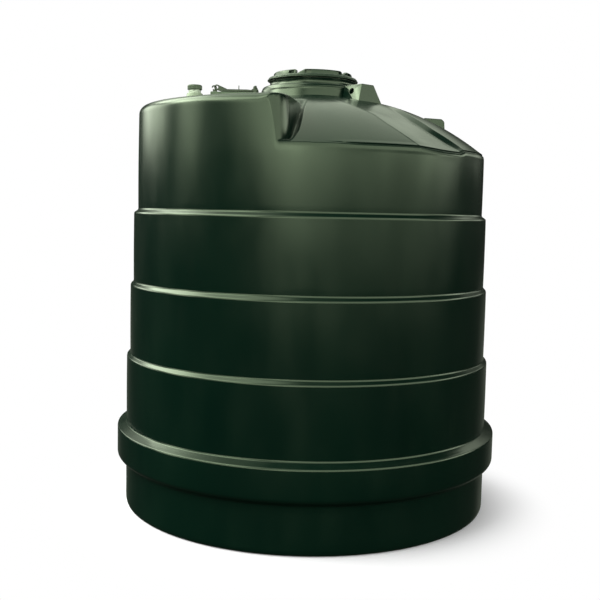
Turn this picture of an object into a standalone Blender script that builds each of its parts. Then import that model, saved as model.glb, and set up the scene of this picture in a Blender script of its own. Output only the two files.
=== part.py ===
"""Vertical storage tank: a moulded plastic shell in stepped rings, standing on its own base.

Metres, +Z up. The origin is the centre of the base, on the ground.
An azimuth is counted in degrees from the front, which is -Y, and grows towards +X.
"""
import math

import bmesh
import bpy
from mathutils import Vector

# Driving sizes of the shell
SKIN = 0.009                 # wall thickness of the moulding
GAP = 0.0003                 # gap that touching pieces keep
RING_PARTS = 3               # pieces that each ring of the wall is split into
STEPS_PER_PART = 16          # flats around each of those pieces

# Wall rings, from the lowest up: radius, and the height of the ledge above each one
BASE_RADIUS = 0.988
COLLAR_RADIUS = 1.034
DRUM_TOP = 0.244
COLLAR_LOW = 0.262
COLLAR_HIGH = 0.428
COLLAR_TOP = 0.446
RING_RADII = (0.986, 0.968, 0.952, 0.930)
LEDGE_HEIGHTS = (0.818, 1.1995, 1.580)
LEDGE_FALL = 0.016           # how far a ledge slopes down to its outer edge
LIP_ROUND = 0.005            # rounding at a ledge's outer edge
WALL_TOP = 1.8740
FLOOR_RADIUS = 0.940

# Roof: a shallow dome, with a raised platform for the fittings on its left side
DOME_PEAK = 2.2016
DOME_FALL = 0.363
DOME_POWER = 2.4
TOP_RADIUS = RING_RADII[-1]
PLATFORM_HEIGHT = 2.120
PLATFORM_INNER = 0.537
PLATFORM_ROUND = 0.040
PLATFORM_MIDDLE_AZ = -90.0   # the platform is the same on both sides of this azimuth
END_WALL_RUN = 0.026         # how far the platform's end wall leans out
VALLEY_DEPTH = 0.034
VALLEY_START = 0.46
CHANNEL_DEPTH = 0.020
CHANNEL_FADE = (0.40, 0.62)
CHANNEL_RIM_LOSS = 0.4       # share of the depth that it loses towards the rim

# Manhole on the dome's axis
COLLAR_RING_RADIUS = 0.286
COLLAR_RING_TOP = 2.252
COLLAR_RING_FOOT = 2.179
COLLAR_RING_ROUND = 0.024
NECK_RADIUS = 0.232
NECK_TOP = 2.2860
LID_RADIUS = 0.245
LID_PLATE_TOP = 2.305
CROWN_RADIUS = 0.214
CROWN_INNER = 0.186
CROWN_TOP = 2.330
CROWN_BLOCKS = 5
CROWN_BLOCK_SPAN = 66.0
CROWN_FIRST_AZ = -54.3

# Lifting lugs
LUG_AZ = (42.0, -138.0)
LUG_INNER = 0.2885
LUG_OUTER = 0.412
LUG_WIDTH = 0.105
LUG_FLARE = 0.046
LUG_TOP = 2.243
LUG_EYE_RADIUS = 0.016
LUG_EYE_OFFSET = 0.345
LUG_EYE_HEIGHT = 2.210
EDGE_LUG_SIZE = (0.110, 0.100)
EDGE_LUG_CENTRE = (0.672, 0.100)
EDGE_LUG_TOP = 2.116

# Filler on the platform
FILLER_CENTRE = (-0.570, -0.560)
FILLER_BOSS_RADIUS = 0.040
FILLER_BOSS_TOP = 2.147
FILLER_RADIUS = 0.0303
FILLER_BORE = 0.022
FILLER_TOP = 2.1635
CAP_RADIUS = 0.0355
CAP_TOP = 2.187

# Inspection hatch on the platform
HATCH_X = (-0.482, -0.264)
HATCH_Y = (-0.680, -0.480)
HATCH_FRAME_TOP = 2.144
MOUTH_X = (-0.418, -0.300)
MOUTH_Y = (-0.645, -0.515)
HATCH_LID_X = (-0.431, -0.284)
HATCH_LID_TOP = 2.157
HINGE_X = -0.270
HINGE_Z = 2.166
BARREL_RADIUS = 0.008
PIN_RADIUS = 0.0035
PIN_HOLE = 0.0040
EYE_OUTER = 0.013
EYE_HOLE = 0.007
EYE_PLATE = 0.006
EYE_SPACE = 0.006            # clear space between the lid's eye and the frame's
FIXED_EYE = (-0.4744, 2.1735)
LID_EYE = (-0.4606, 2.1755)
STUD_X = -0.355
STUD_RADIUS = 0.003
STUD_TOP = 2.187

GREEN = (0.018, 0.050, 0.032)
DARK_GREEN = (0.012, 0.034, 0.022)
BLACK = (0.012, 0.015, 0.013)


def clear_scene():
    for old in list(bpy.data.objects):
        bpy.data.objects.remove(old, do_unlink=True)


def plastic(name, colour, roughness):
    """One material of its own for one piece."""
    material = bpy.data.materials.new(name)
    material.use_nodes = True
    shader = material.node_tree.nodes["Principled BSDF"]
    shader.inputs["Base Color"].default_value = (*colour, 1.0)
    shader.inputs["Roughness"].default_value = roughness
    shader.inputs["Metallic"].default_value = 0.0
    return material


def make_object(name, mesh_data, colour=GREEN, roughness=0.35, origin=(0.0, 0.0, 0.0)):
    """An object from a bmesh given in world coordinates, with its origin where asked."""
    bmesh.ops.remove_doubles(mesh_data, verts=mesh_data.verts, dist=1e-6)
    bmesh.ops.recalc_face_normals(mesh_data, faces=mesh_data.faces)
    bmesh.ops.translate(mesh_data, verts=mesh_data.verts, vec=-Vector(origin))
    mesh = bpy.data.meshes.new(name)
    mesh_data.to_mesh(mesh)
    mesh_data.free()
    mesh.shade_smooth()
    mesh.set_sharp_from_angle(angle=math.radians(30))
    piece = bpy.data.objects.new(name, mesh)
    piece.location = origin
    piece.data.materials.append(plastic(name, colour, roughness))
    bpy.context.collection.objects.link(piece)
    return piece


def make_cutter(name, mesh_data):
    cutter = make_object(name, mesh_data)
    cutter.hide_render = True
    cutter.display_type = "WIRE"
    return cutter


def add_boolean(piece, other, operation):
    modifier = piece.modifiers.new(other.name, "BOOLEAN")
    modifier.operation = operation
    modifier.object = other
    modifier.solver = "EXACT"


def plan_point(azimuth, radius):
    angle = math.radians(azimuth)
    return radius * math.sin(angle), -radius * math.cos(angle)


def smooth_step(low, high, value):
    t = min(max((value - low) / (high - low), 0.0), 1.0)
    return t * t * (3.0 - 2.0 * t)


def blend_along(value, stops):
    """Straight-line reading of a short list of (value, result) stops."""
    if value <= stops[0][0]:
        return stops[0][1]
    for (low, start), (high, end) in zip(stops, stops[1:]):
        if value <= high:
            return start + (end - start) * (value - low) / (high - low)
    return stops[-1][1]


# Shape of the roof

END_WALL_AZ = ((0.50, -6.3), (0.80, -7.4), (0.87, -8.4), (0.90, -9.4), (0.93, -11.2))
DOME_EDGE_AZ = ((0.50, -2.6), (0.77, -3.3), (0.85, -3.8), (0.93, -5.6))
CHANNEL_LEFT_AZ = ((0.40, 9.0), (0.54, 19.0), (0.67, 25.9), (0.76, 27.6), (0.93, 33.4))
CHANNEL_RIGHT_AZ = ((0.40, 66.0), (0.53, 57.0), (0.66, 50.5), (0.77, 50.0), (0.93, 54.4))


def dome_height(radius):
    return DOME_PEAK - DOME_FALL * radius ** DOME_POWER


def channel_drop(azimuth, radius):
    """The shallow flat channel that runs down the dome's front right."""
    left = blend_along(radius, CHANNEL_LEFT_AZ)
    right = blend_along(radius, CHANNEL_RIGHT_AZ)
    share = (azimuth - left) / (right - left)
    if share <= 0.0 or share >= 1.0:
        return 0.0
    slope = min(share / 0.55, 1.0) * min((1.0 - share) / 0.09, 1.0)
    slope *= 1.0 - CHANNEL_RIM_LOSS * smooth_step(0.85, TOP_RADIUS, radius)
    return CHANNEL_DEPTH * slope * smooth_step(*CHANNEL_FADE, radius)


def platform_surface(radius):
    """Height of the platform, rounded down at the outer wall."""
    over = max(radius - (TOP_RADIUS - PLATFORM_ROUND), 0.0)
    return PLATFORM_HEIGHT - PLATFORM_ROUND + math.sqrt(max(PLATFORM_ROUND ** 2 - over ** 2, 0.0))


def roof_height(azimuth, radius, inward=0.0):
    """Height of the roof's face: the dome, its channel, the valleys and the platform.

    The upright faces are moved inward by a thickness, which gives the under face its shape.
    """
    ground = dome_height(radius) - channel_drop(azimuth, radius)
    mirrored = PLATFORM_MIDDLE_AZ + abs(azimuth - PLATFORM_MIDDLE_AZ)
    if mirrored > 0.0:
        return ground
    wall_az = blend_along(radius, END_WALL_AZ)
    edge_az = blend_along(radius, DOME_EDGE_AZ)
    metres_per_degree = math.radians(radius)
    outside = (mirrored - wall_az) * metres_per_degree + inward
    to_edge = (edge_az - mirrored) * metres_per_degree + inward
    radial = smooth_step(VALLEY_START, VALLEY_START + 0.12, radius)
    radial *= 1.0 - smooth_step(0.86, TOP_RADIUS, radius)
    ground -= VALLEY_DEPTH * radial * smooth_step(0.0, 0.012, to_edge)
    raised = platform_surface(radius)
    share = 1.0 - smooth_step(-END_WALL_RUN / 2, END_WALL_RUN / 2, outside)
    if raised <= ground:
        return ground
    return ground + (raised - ground) * share


# Builders

def inset_value(index, count):
    """-1 on the first stop, 1 on the last one, and 0 between them."""
    return (index == count - 1) - (index == 0)


def grid_solid(top, bottom):
    """A closed slab between two grids of points with the same rows and columns."""
    shape = bmesh.new()
    upper = [[shape.verts.new(p) for p in row] for row in top]
    lower = [[shape.verts.new(p) for p in row] for row in bottom]
    rows, columns = len(top), len(top[0])
    for i in range(rows - 1):
        for j in range(columns - 1):
            for grid in (upper, lower):
                shape.faces.new((grid[i][j], grid[i + 1][j], grid[i + 1][j + 1], grid[i][j + 1]))
    for j in range(columns - 1):
        for i in (0, rows - 1):
            shape.faces.new((upper[i][j], upper[i][j + 1], lower[i][j + 1], lower[i][j]))
    for i in range(rows - 1):
        for j in (0, columns - 1):
            shape.faces.new((upper[i][j], upper[i + 1][j], lower[i + 1][j], lower[i][j]))
    return shape


def roof_grid(azimuths, radii, lift, inset=GAP / 2, inward=0.0):
    """Points of the roof's face, drawn back from the patch's own border by the inset."""
    grid = []
    for i, azimuth in enumerate(azimuths):
        across = -inset_value(i, len(azimuths)) * inset
        row = []
        for j, radius in enumerate(radii):
            r = radius - inset_value(j, len(radii)) * inset
            az = azimuth + math.degrees(across / r)
            row.append((*plan_point(az, r), roof_height(azimuth, radius, inward) + lift))
        grid.append(row)
    return grid


def roof_patch(name, azimuths, radii, skirt=True):
    """A piece of the roof; its skirt is the outer wall that reaches down to the wall rings."""
    top = roof_grid(azimuths, radii, 0.0)
    bottom = roof_grid(azimuths, radii, -SKIN, inward=SKIN)
    if skirt:
        for row in bottom:
            row[-2:] = [(x, y, WALL_TOP) for x, y, _ in row[-2:]]
    return make_object(name, grid_solid(top, bottom))


def closed_sweep(profile, azimuths, closed):
    """A profile of (radius, height) corners carried around the tank's axis."""
    shape = bmesh.new()
    loops = []
    for i, azimuth in enumerate(azimuths):
        across = 0.0 if closed else -inset_value(i, len(azimuths)) * GAP / 2
        loop = []
        for radius, height in profile:
            az = azimuth + math.degrees(across / radius)
            loop.append(shape.verts.new((*plan_point(az, radius), height)))
        loops.append(loop)
    pairs = list(zip(loops, loops[1:]))
    if closed:
        pairs.append((loops[-1], loops[0]))
    corners = len(profile)
    for first, second in pairs:
        for k in range(corners):
            n = (k + 1) % corners
            shape.faces.new((first[k], first[n], second[n], second[k]))
    if not closed:
        shape.faces.new(loops[0])
        shape.faces.new(loops[-1])
        bmesh.ops.triangulate(shape, faces=[f for f in shape.faces if len(f.verts) > 4])
    return shape


def even_stops(start, end, steps):
    return [start + (end - start) * i / steps for i in range(steps + 1)]


def turned_solid(profile, centre=(0.0, 0.0), steps=32):
    """A solid turned about an upright axis; a profile corner at radius 0 closes it there."""
    shape = bmesh.new()
    loops = []
    for radius, height in profile:
        if radius == 0.0:
            loops.append([shape.verts.new((centre[0], centre[1], height))])
            continue
        loop = []
        for i in range(steps):
            x, y = plan_point(360.0 * i / steps, radius)
            loop.append(shape.verts.new((centre[0] + x, centre[1] + y, height)))
        loops.append(loop)
    for first, second in zip(loops, loops[1:] + loops[:1]):
        if len(first) == 1 and len(second) == 1:
            continue
        for i in range(steps):
            n = (i + 1) % steps
            corners = [first[i % len(first)], first[n % len(first)]]
            corners += [second[n % len(second)], second[i % len(second)]]
            shape.faces.new(list(dict.fromkeys(corners)))
    return shape


def box_solid(x_span, y_span, z_span):
    top = [[(x, y, z_span[1]) for y in y_span] for x in x_span]
    bottom = [[(x, y, z_span[0]) for y in y_span] for x in x_span]
    return grid_solid(top, bottom)


def prism_along_y(outline, y_span):
    """An outline of (x, z) corners, extruded from one y to another."""
    shape = bmesh.new()
    near = [shape.verts.new((x, y_span[0], z)) for x, z in outline]
    far = [shape.verts.new((x, y_span[1], z)) for x, z in outline]
    shape.faces.new(near)
    shape.faces.new(far)
    for k in range(len(outline)):
        n = (k + 1) % len(outline)
        shape.faces.new((near[k], near[n], far[n], far[k]))
    return shape


def round_outline(centre, radius, start, end, steps):
    """Points on an arc in the x and z plane, from one angle to another, in degrees."""
    points = []
    for angle in even_stops(start, end, steps):
        a = math.radians(angle)
        points.append((centre[0] + radius * math.cos(a), centre[1] + radius * math.sin(a)))
    return points


# Pieces

def drum_profile():
    """The upright wall at the foot, with the foot's rim that meets the floor."""
    outer = [(FLOOR_RADIUS + GAP, 0.0), (BASE_RADIUS - 0.022, 0.0), (BASE_RADIUS - 0.006, 0.007),
             (BASE_RADIUS, 0.024), (BASE_RADIUS, DRUM_TOP - GAP)]
    inner = [(BASE_RADIUS - SKIN, DRUM_TOP - GAP), (BASE_RADIUS - SKIN, SKIN + 0.012),
             (BASE_RADIUS - 0.024, SKIN), (FLOOR_RADIUS + GAP, SKIN)]
    return outer + inner


def collar_profile():
    """The wide collar on the drum: its outer side upwards, then its inner side back down."""
    outer = [(BASE_RADIUS, DRUM_TOP), (COLLAR_RADIUS - 0.010, COLLAR_LOW),
             (COLLAR_RADIUS, COLLAR_LOW + 0.014), (COLLAR_RADIUS, COLLAR_HIGH - 0.008),
             (COLLAR_RADIUS - 0.008, COLLAR_HIGH), (COLLAR_RADIUS - 0.031, COLLAR_TOP),
             (RING_RADII[0], COLLAR_TOP - GAP)]
    inner = [(RING_RADII[0] - SKIN, COLLAR_TOP - GAP), (RING_RADII[0] - SKIN, COLLAR_TOP - 0.011),
             (COLLAR_RADIUS - 0.017, COLLAR_HIGH - 0.012), (COLLAR_RADIUS - 0.012, COLLAR_LOW + 0.020),
             (BASE_RADIUS - SKIN, COLLAR_LOW - 0.004), (BASE_RADIUS - SKIN, DRUM_TOP)]
    return outer + inner


def ring_profile(index):
    """One band of the wall, with its sloping ledge on top."""
    radius = RING_RADII[index]
    foot = COLLAR_TOP if index == 0 else LEDGE_HEIGHTS[index - 1]
    if index == len(RING_RADII) - 1:
        return [(radius, foot), (radius, WALL_TOP - GAP),
                (radius - SKIN, WALL_TOP - GAP), (radius - SKIN, foot)]
    upper = RING_RADII[index + 1]
    ledge = LEDGE_HEIGHTS[index] - GAP
    edge = ledge - LEDGE_FALL
    return [(radius, foot), (radius, edge - LIP_ROUND), (radius - LIP_ROUND / 2, edge),
            (upper, ledge), (upper - SKIN, ledge), (upper - SKIN, ledge - SKIN),
            (radius - SKIN, edge - SKIN), (radius - SKIN, foot)]


def build_wall():
    span = 360.0 / RING_PARTS
    sides = ("right", "rear", "left")
    profiles = [("base_drum", drum_profile()), ("base_collar", collar_profile())]
    profiles += [(f"wall_ring_{k + 1}", ring_profile(k)) for k in range(len(RING_RADII))]
    for name, profile in profiles:
        for part, side in enumerate(sides):
            azimuths = even_stops(part * span, (part + 1) * span, STEPS_PER_PART)
            make_object(f"{name}_{side}", closed_sweep(profile, azimuths, False))
    floor = [(0.0, 0.0), (FLOOR_RADIUS, 0.0), (FLOOR_RADIUS, SKIN), (0.0, SKIN)]
    make_object("base_floor", turned_solid(floor, steps=48))


INNER_RADII = (COLLAR_RING_RADIUS - SKIN + 0.002, 0.34, 0.42, PLATFORM_INNER)
PLATE_RADII = (PLATFORM_INNER, 0.66, 0.76, 0.85, TOP_RADIUS - PLATFORM_ROUND)
SHOULDER_RADII = (TOP_RADIUS - PLATFORM_ROUND, 0.907, TOP_RADIUS - SKIN, TOP_RADIUS)
OUTER_RADII = PLATE_RADII[:-1] + SHOULDER_RADII
DOME_RADII = INNER_RADII[:-1] + OUTER_RADII
VALLEY_FRONT_AZ = (-20.0, -14.0, -12.0, -10.5, -9.0, -8.0, -7.0, -6.0, -4.8, -3.6, -2.4, 0.0)
CHANNEL_AZ = (0.0, 5.0, 10.0, 16.0, 22.0, 26.0, 29.5, 32.5, 36.0, 40.0, 44.0, 48.0, 50.5, 52.5, 54.5, 58.0, 66.0)


def mirrored_stops(stops):
    return [2 * PLATFORM_MIDDLE_AZ - az for az in reversed(stops)]


def build_roof():
    roof_patch("dome_front", CHANNEL_AZ, DOME_RADII)
    roof_patch("dome_right", even_stops(66.0, 122.0, 8), DOME_RADII)
    roof_patch("dome_rear", even_stops(122.0, 180.0, 8), DOME_RADII)
    roof_patch("valley_front", VALLEY_FRONT_AZ, DOME_RADII)
    roof_patch("valley_rear", mirrored_stops(VALLEY_FRONT_AZ), DOME_RADII)
    front_az = even_stops(PLATFORM_MIDDLE_AZ, VALLEY_FRONT_AZ[0], 10)
    rear_az = mirrored_stops(front_az)
    roof_patch("dome_left_front", front_az, INNER_RADII, skirt=False)
    roof_patch("dome_left_rear", rear_az, INNER_RADII, skirt=False)
    platform_front = roof_patch("platform_top_front", front_az, PLATE_RADII, skirt=False)
    roof_patch("platform_top_rear", rear_az, PLATE_RADII, skirt=False)
    cut_platform(platform_front)
    platform_wall("platform_wall", rear_az + front_az[1:])


def cut_platform(platform):
    """Openings through the platform for the hatch and the filler."""
    z_span = (PLATFORM_HEIGHT - 0.03, PLATFORM_HEIGHT + 0.01)
    mouth = make_cutter("cut_hatch_mouth", box_solid(MOUTH_X, MOUTH_Y, z_span))
    bore_profile = [(0.0, z_span[0]), (FILLER_BORE, z_span[0]), (FILLER_BORE, z_span[1]), (0.0, z_span[1])]
    bore = make_cutter("cut_filler_bore", turned_solid(bore_profile, FILLER_CENTRE, 24))
    add_boolean(platform, mouth, "DIFFERENCE")
    add_boolean(platform, bore, "DIFFERENCE")


def platform_wall(name, azimuths):
    """The platform's rounded shoulder with the upright wall below it."""
    middle = (TOP_RADIUS - PLATFORM_ROUND, PLATFORM_HEIGHT - PLATFORM_ROUND)
    outer = [(middle[0] + GAP / 2, PLATFORM_HEIGHT)]
    inner = [(middle[0] + GAP / 2, PLATFORM_HEIGHT - SKIN)]
    for radius in SHOULDER_RADII[1:]:
        lean = math.asin(min((radius - middle[0]) / PLATFORM_ROUND, 1.0))
        for side, reach in ((outer, PLATFORM_ROUND), (inner, PLATFORM_ROUND - SKIN)):
            side.append((middle[0] + reach * math.sin(lean), middle[1] + reach * math.cos(lean)))
    outer.append((TOP_RADIUS, WALL_TOP))
    inner.append((TOP_RADIUS - SKIN, WALL_TOP))
    tops, bottoms = [], []
    for i, azimuth in enumerate(azimuths):
        across = -inset_value(i, len(azimuths)) * GAP / 2
        for grid, side in ((tops, outer), (bottoms, inner)):
            grid.append([(*plan_point(azimuth + math.degrees(across / r), r), z) for r, z in side])
    return make_object(name, grid_solid(tops, bottoms))


def build_manhole():
    inner = NECK_RADIUS - SKIN
    top = COLLAR_RING_TOP
    bend = COLLAR_RING_ROUND
    ring = [(COLLAR_RING_RADIUS, COLLAR_RING_FOOT + 0.006), (COLLAR_RING_RADIUS, top - bend),
            (COLLAR_RING_RADIUS - 0.3 * bend, top - 0.3 * bend), (COLLAR_RING_RADIUS - bend, top),
            (NECK_RADIUS, top), (inner, top), (inner, top - SKIN),
            (COLLAR_RING_RADIUS - SKIN - bend, top - SKIN),
            (COLLAR_RING_RADIUS - SKIN, top - bend - 0.4 * SKIN),
            (COLLAR_RING_RADIUS - SKIN, COLLAR_RING_FOOT + 0.006)]
    azimuths = even_stops(0.0, 360.0, 36)[:-1]
    make_object("manhole_ring", closed_sweep(ring, azimuths, True))
    neck = [(NECK_RADIUS, top + GAP), (NECK_RADIUS, NECK_TOP), (inner, NECK_TOP), (inner, top + GAP)]
    make_object("manhole_neck", closed_sweep(neck, azimuths, True))
    build_manhole_lid()


def build_manhole_lid():
    seat = NECK_TOP + GAP
    recess = LID_PLATE_TOP - 0.008
    seat_inner = NECK_RADIUS - SKIN - 0.006
    plate = [(0.0, recess), (seat_inner, recess), (seat_inner, seat), (LID_RADIUS, seat),
             (LID_RADIUS, LID_PLATE_TOP - 0.006), (LID_RADIUS - 0.008, LID_PLATE_TOP), (0.0, LID_PLATE_TOP)]
    lid = make_object("manhole_lid", turned_solid(plate, steps=36), DARK_GREEN, 0.4)
    foot = LID_PLATE_TOP - 0.004
    block = [(CROWN_RADIUS, foot), (CROWN_RADIUS - 0.003, CROWN_TOP - 0.004), (CROWN_RADIUS - 0.007, CROWN_TOP),
             (CROWN_INNER, CROWN_TOP), (CROWN_INNER, foot)]
    for k in range(CROWN_BLOCKS):
        middle = CROWN_FIRST_AZ + 360.0 * k / CROWN_BLOCKS
        azimuths = even_stops(middle - CROWN_BLOCK_SPAN / 2, middle + CROWN_BLOCK_SPAN / 2, 5)
        grip = make_cutter(f"crown_block_{k + 1}", closed_sweep(block, azimuths, False))
        add_boolean(lid, grip, "UNION")


def lug_block(azimuth):
    """A lug's block, square to its own azimuth, reaching down into the dome."""
    floor = 2.110
    outward = Vector((*plan_point(azimuth, 1.0), 0.0))
    along = Vector((-outward.y, outward.x, 0.0))
    half = LUG_WIDTH / 2
    deep = LUG_TOP - floor
    spread = LUG_FLARE * deep / 0.09
    lean = 0.014 * deep / 0.09
    shape = bmesh.new()
    corners = []
    for height, extra, out in ((LUG_TOP, 0.0, 0.0), (floor, spread, lean)):
        for side, reach in ((-half, LUG_INNER), (-half, LUG_OUTER), (half + extra, LUG_OUTER + out),
                            (half + extra, LUG_INNER)):
            point = outward * reach + along * side
            corners.append(shape.verts.new((point.x, point.y, height)))
    shape.faces.new(corners[:4])
    shape.faces.new(corners[4:])
    for k in range(4):
        n = (k + 1) % 4
        shape.faces.new((corners[k], corners[n], corners[4 + n], corners[4 + k]))
    return shape


def build_lugs():
    span = {LUG_AZ[0]: ("front", CHANNEL_AZ), LUG_AZ[1]: ("rear", mirrored_stops(CHANNEL_AZ))}
    for azimuth, (side, stops) in span.items():
        lug = make_object(f"lifting_lug_{side}", lug_block(azimuth))
        trim_to_roof(lug, f"cut_lug_{side}", lug_stops(azimuth, stops))
        outward = Vector((*plan_point(azimuth, 1.0), 0.0))
        eye = make_cutter(f"cut_lug_eye_{side}", eye_cutter(outward))
        add_boolean(lug, eye, "DIFFERENCE")
        clear_ring(lug, f"cut_lug_ring_{side}")
    x, y = EDGE_LUG_CENTRE
    half_x, half_y = EDGE_LUG_SIZE[0] / 2, EDGE_LUG_SIZE[1] / 2
    outline = [(x - half_x, 1.95), (x + half_x + 0.012, 1.95), (x + half_x, EDGE_LUG_TOP - 0.014),
               (x + half_x - 0.014, EDGE_LUG_TOP), (x - half_x, EDGE_LUG_TOP)]
    edge_lug = make_object("edge_lug", prism_along_y(outline, (y - half_y, y + half_y)))
    trim_to_roof(edge_lug, "cut_edge_lug", even_stops(66.0, 122.0, 8))


def lug_stops(azimuth, stops):
    """The azimuth stops of the roof patch that a lug stands on."""
    if azimuth > 0.0:
        return stops
    front_az = even_stops(PLATFORM_MIDDLE_AZ, VALLEY_FRONT_AZ[0], 10)
    return mirrored_stops(front_az)


def trim_to_roof(piece, name, azimuths):
    """Cut a piece's foot to the roof below it, leaving the usual gap."""
    top = roof_grid(azimuths, DOME_RADII, GAP, inset=0.0)
    bottom = [[(x, y, 1.80) for x, y, _ in row] for row in top]
    add_boolean(piece, make_cutter(name, grid_solid(top, bottom)), "DIFFERENCE")


def clear_ring(piece, name):
    radius = COLLAR_RING_RADIUS + GAP
    profile = [(0.0, 2.0), (radius, 2.0), (radius, 2.30), (0.0, 2.30)]
    add_boolean(piece, make_cutter(name, turned_solid(profile, steps=36)), "DIFFERENCE")


def eye_cutter(outward):
    """A round bar across a lug, for the eye that a hook goes through."""
    along = Vector((-outward.y, outward.x, 0.0))
    centre = outward * LUG_EYE_OFFSET
    shape = bmesh.new()
    ends = []
    for side in (-0.15, 0.15):
        loop = []
        for i in range(16):
            a = 2.0 * math.pi * i / 16
            point = centre + along * side + outward * (LUG_EYE_RADIUS * math.cos(a))
            loop.append(shape.verts.new((point.x, point.y, LUG_EYE_HEIGHT + LUG_EYE_RADIUS * math.sin(a))))
        ends.append(loop)
        shape.faces.new(loop)
    for i in range(16):
        n = (i + 1) % 16
        shape.faces.new((ends[0][i], ends[0][n], ends[1][n], ends[1][i]))
    return shape


def build_filler():
    foot = PLATFORM_HEIGHT + GAP
    boss = [(FILLER_BORE, foot), (FILLER_BOSS_RADIUS, foot), (FILLER_BOSS_RADIUS - 0.003, FILLER_BOSS_TOP),
            (FILLER_BORE, FILLER_BOSS_TOP)]
    make_object("filler_boss", turned_solid(boss, FILLER_CENTRE, 24))
    spigot = [(FILLER_BORE, FILLER_BOSS_TOP + GAP), (FILLER_RADIUS, FILLER_BOSS_TOP + GAP),
              (FILLER_RADIUS, FILLER_TOP), (FILLER_BORE, FILLER_TOP)]
    make_object("filler_spigot", turned_solid(spigot, FILLER_CENTRE, 24), GREEN, 0.45)
    seat = FILLER_TOP + GAP
    recess = FILLER_TOP + 0.014
    cap = [(0.0, recess), (FILLER_BORE - 0.001, recess), (FILLER_BORE - 0.001, seat), (CAP_RADIUS, seat),
           (CAP_RADIUS, CAP_TOP - 0.004), (CAP_RADIUS - 0.004, CAP_TOP), (0.0, CAP_TOP)]
    make_object("filler_cap", turned_solid(cap, FILLER_CENTRE, 24), DARK_GREEN, 0.45,
                origin=(*FILLER_CENTRE, FILLER_TOP))


def build_hatch():
    foot = PLATFORM_HEIGHT + GAP
    frame = make_object("hatch_frame", box_solid(HATCH_X, HATCH_Y, (foot, HATCH_FRAME_TOP)), GREEN, 0.4)
    mouth = box_solid(MOUTH_X, MOUTH_Y, (foot - 0.02, HATCH_FRAME_TOP + 0.02))
    add_boolean(frame, make_cutter("cut_frame_mouth", mouth), "DIFFERENCE")
    build_hatch_hinge()
    build_hatch_lid()
    build_fixed_eye()


EAR_THICK = 0.012
EAR_SPACE = 0.0010
BARREL_Y = (-0.640, -0.520)


def hinge_disc(radius, y_span):
    return prism_along_y(round_outline((HINGE_X, HINGE_Z), radius, 0.0, 337.5, 15), y_span)


def build_hatch_hinge():
    foot = HATCH_FRAME_TOP + GAP
    outline = [(HINGE_X - 0.011, foot), (HATCH_X[1], foot), (HINGE_X + 0.005, HINGE_Z + 0.011),
               (HINGE_X - 0.003, HINGE_Z + 0.012), (HINGE_X - 0.011, HINGE_Z + 0.007)]
    spans = {"front": (BARREL_Y[0] - EAR_SPACE - EAR_THICK, BARREL_Y[0] - EAR_SPACE),
             "rear": (BARREL_Y[1] + EAR_SPACE, BARREL_Y[1] + EAR_SPACE + EAR_THICK)}
    for side, y_span in spans.items():
        ear = make_object(f"hinge_ear_{side}", prism_along_y(outline, y_span), BLACK, 0.4)
        wide = (y_span[0] - 0.01, y_span[1] + 0.01)
        add_boolean(ear, make_cutter(f"cut_hinge_ear_{side}", hinge_disc(PIN_HOLE, wide)), "DIFFERENCE")
    pin_span = (spans["front"][0] + 0.001, spans["rear"][1] - 0.001)
    origin = (HINGE_X, sum(BARREL_Y) / 2, HINGE_Z)
    make_object("hinge_pin", hinge_disc(PIN_RADIUS, pin_span), BLACK, 0.3, origin)


def build_hatch_lid():
    """The hinged lid, with its barrel, its tongue and the eye for a padlock."""
    origin = (HINGE_X, sum(BARREL_Y) / 2, HINGE_Z)
    under = HATCH_FRAME_TOP + GAP
    lid_y = (HATCH_Y[0] + 0.008, HATCH_Y[1] - 0.008)
    slab = box_solid(HATCH_LID_X, lid_y, (under, HATCH_LID_TOP))
    lid = make_object("hatch_lid", slab, BLACK, 0.3, origin)
    arm = [(HATCH_LID_X[1] - 0.012, under + 0.001), (HATCH_LID_X[1] + 0.003, under + 0.001)]
    arm += round_outline((HINGE_X, HINGE_Z), BARREL_RADIUS, -110.0, 150.0, 9)
    arm += [(HATCH_LID_X[1] - 0.012, HATCH_LID_TOP - 0.001)]
    barrel = make_cutter("join_barrel", prism_along_y(arm, BARREL_Y))
    add_boolean(lid, barrel, "UNION")
    bore = (BARREL_Y[0] - 0.01, BARREL_Y[1] + 0.01)
    add_boolean(lid, make_cutter("cut_barrel", hinge_disc(PIN_RADIUS + GAP, bore)), "DIFFERENCE")
    x, z = LID_EYE
    tongue = [(HATCH_LID_X[0] + 0.020, under + 0.003), (HATCH_LID_X[0] + 0.030, HATCH_LID_TOP + 0.004)]
    tongue += round_outline(LID_EYE, EYE_OUTER, 70.0, 250.0, 8)
    middle = sum(HATCH_Y) / 2
    plate_y = (middle - EYE_SPACE / 2 - EYE_PLATE, middle - EYE_SPACE / 2)
    add_boolean(lid, make_cutter("join_tongue", prism_along_y(tongue, plate_y)), "UNION")
    hole = round_outline((x, z), EYE_HOLE, 0.0, 330.0, 11)
    wide = (plate_y[0] - 0.01, plate_y[1] + 0.01)
    add_boolean(lid, make_cutter("cut_lid_eye", prism_along_y(hole, wide)), "DIFFERENCE")
    stud = [(0.0, HATCH_LID_TOP + GAP), (STUD_RADIUS, HATCH_LID_TOP + GAP), (STUD_RADIUS, STUD_TOP), (0.0, STUD_TOP)]
    make_object("hatch_stud", turned_solid(stud, (STUD_X, middle), 12), BLACK, 0.4, origin)


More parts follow.
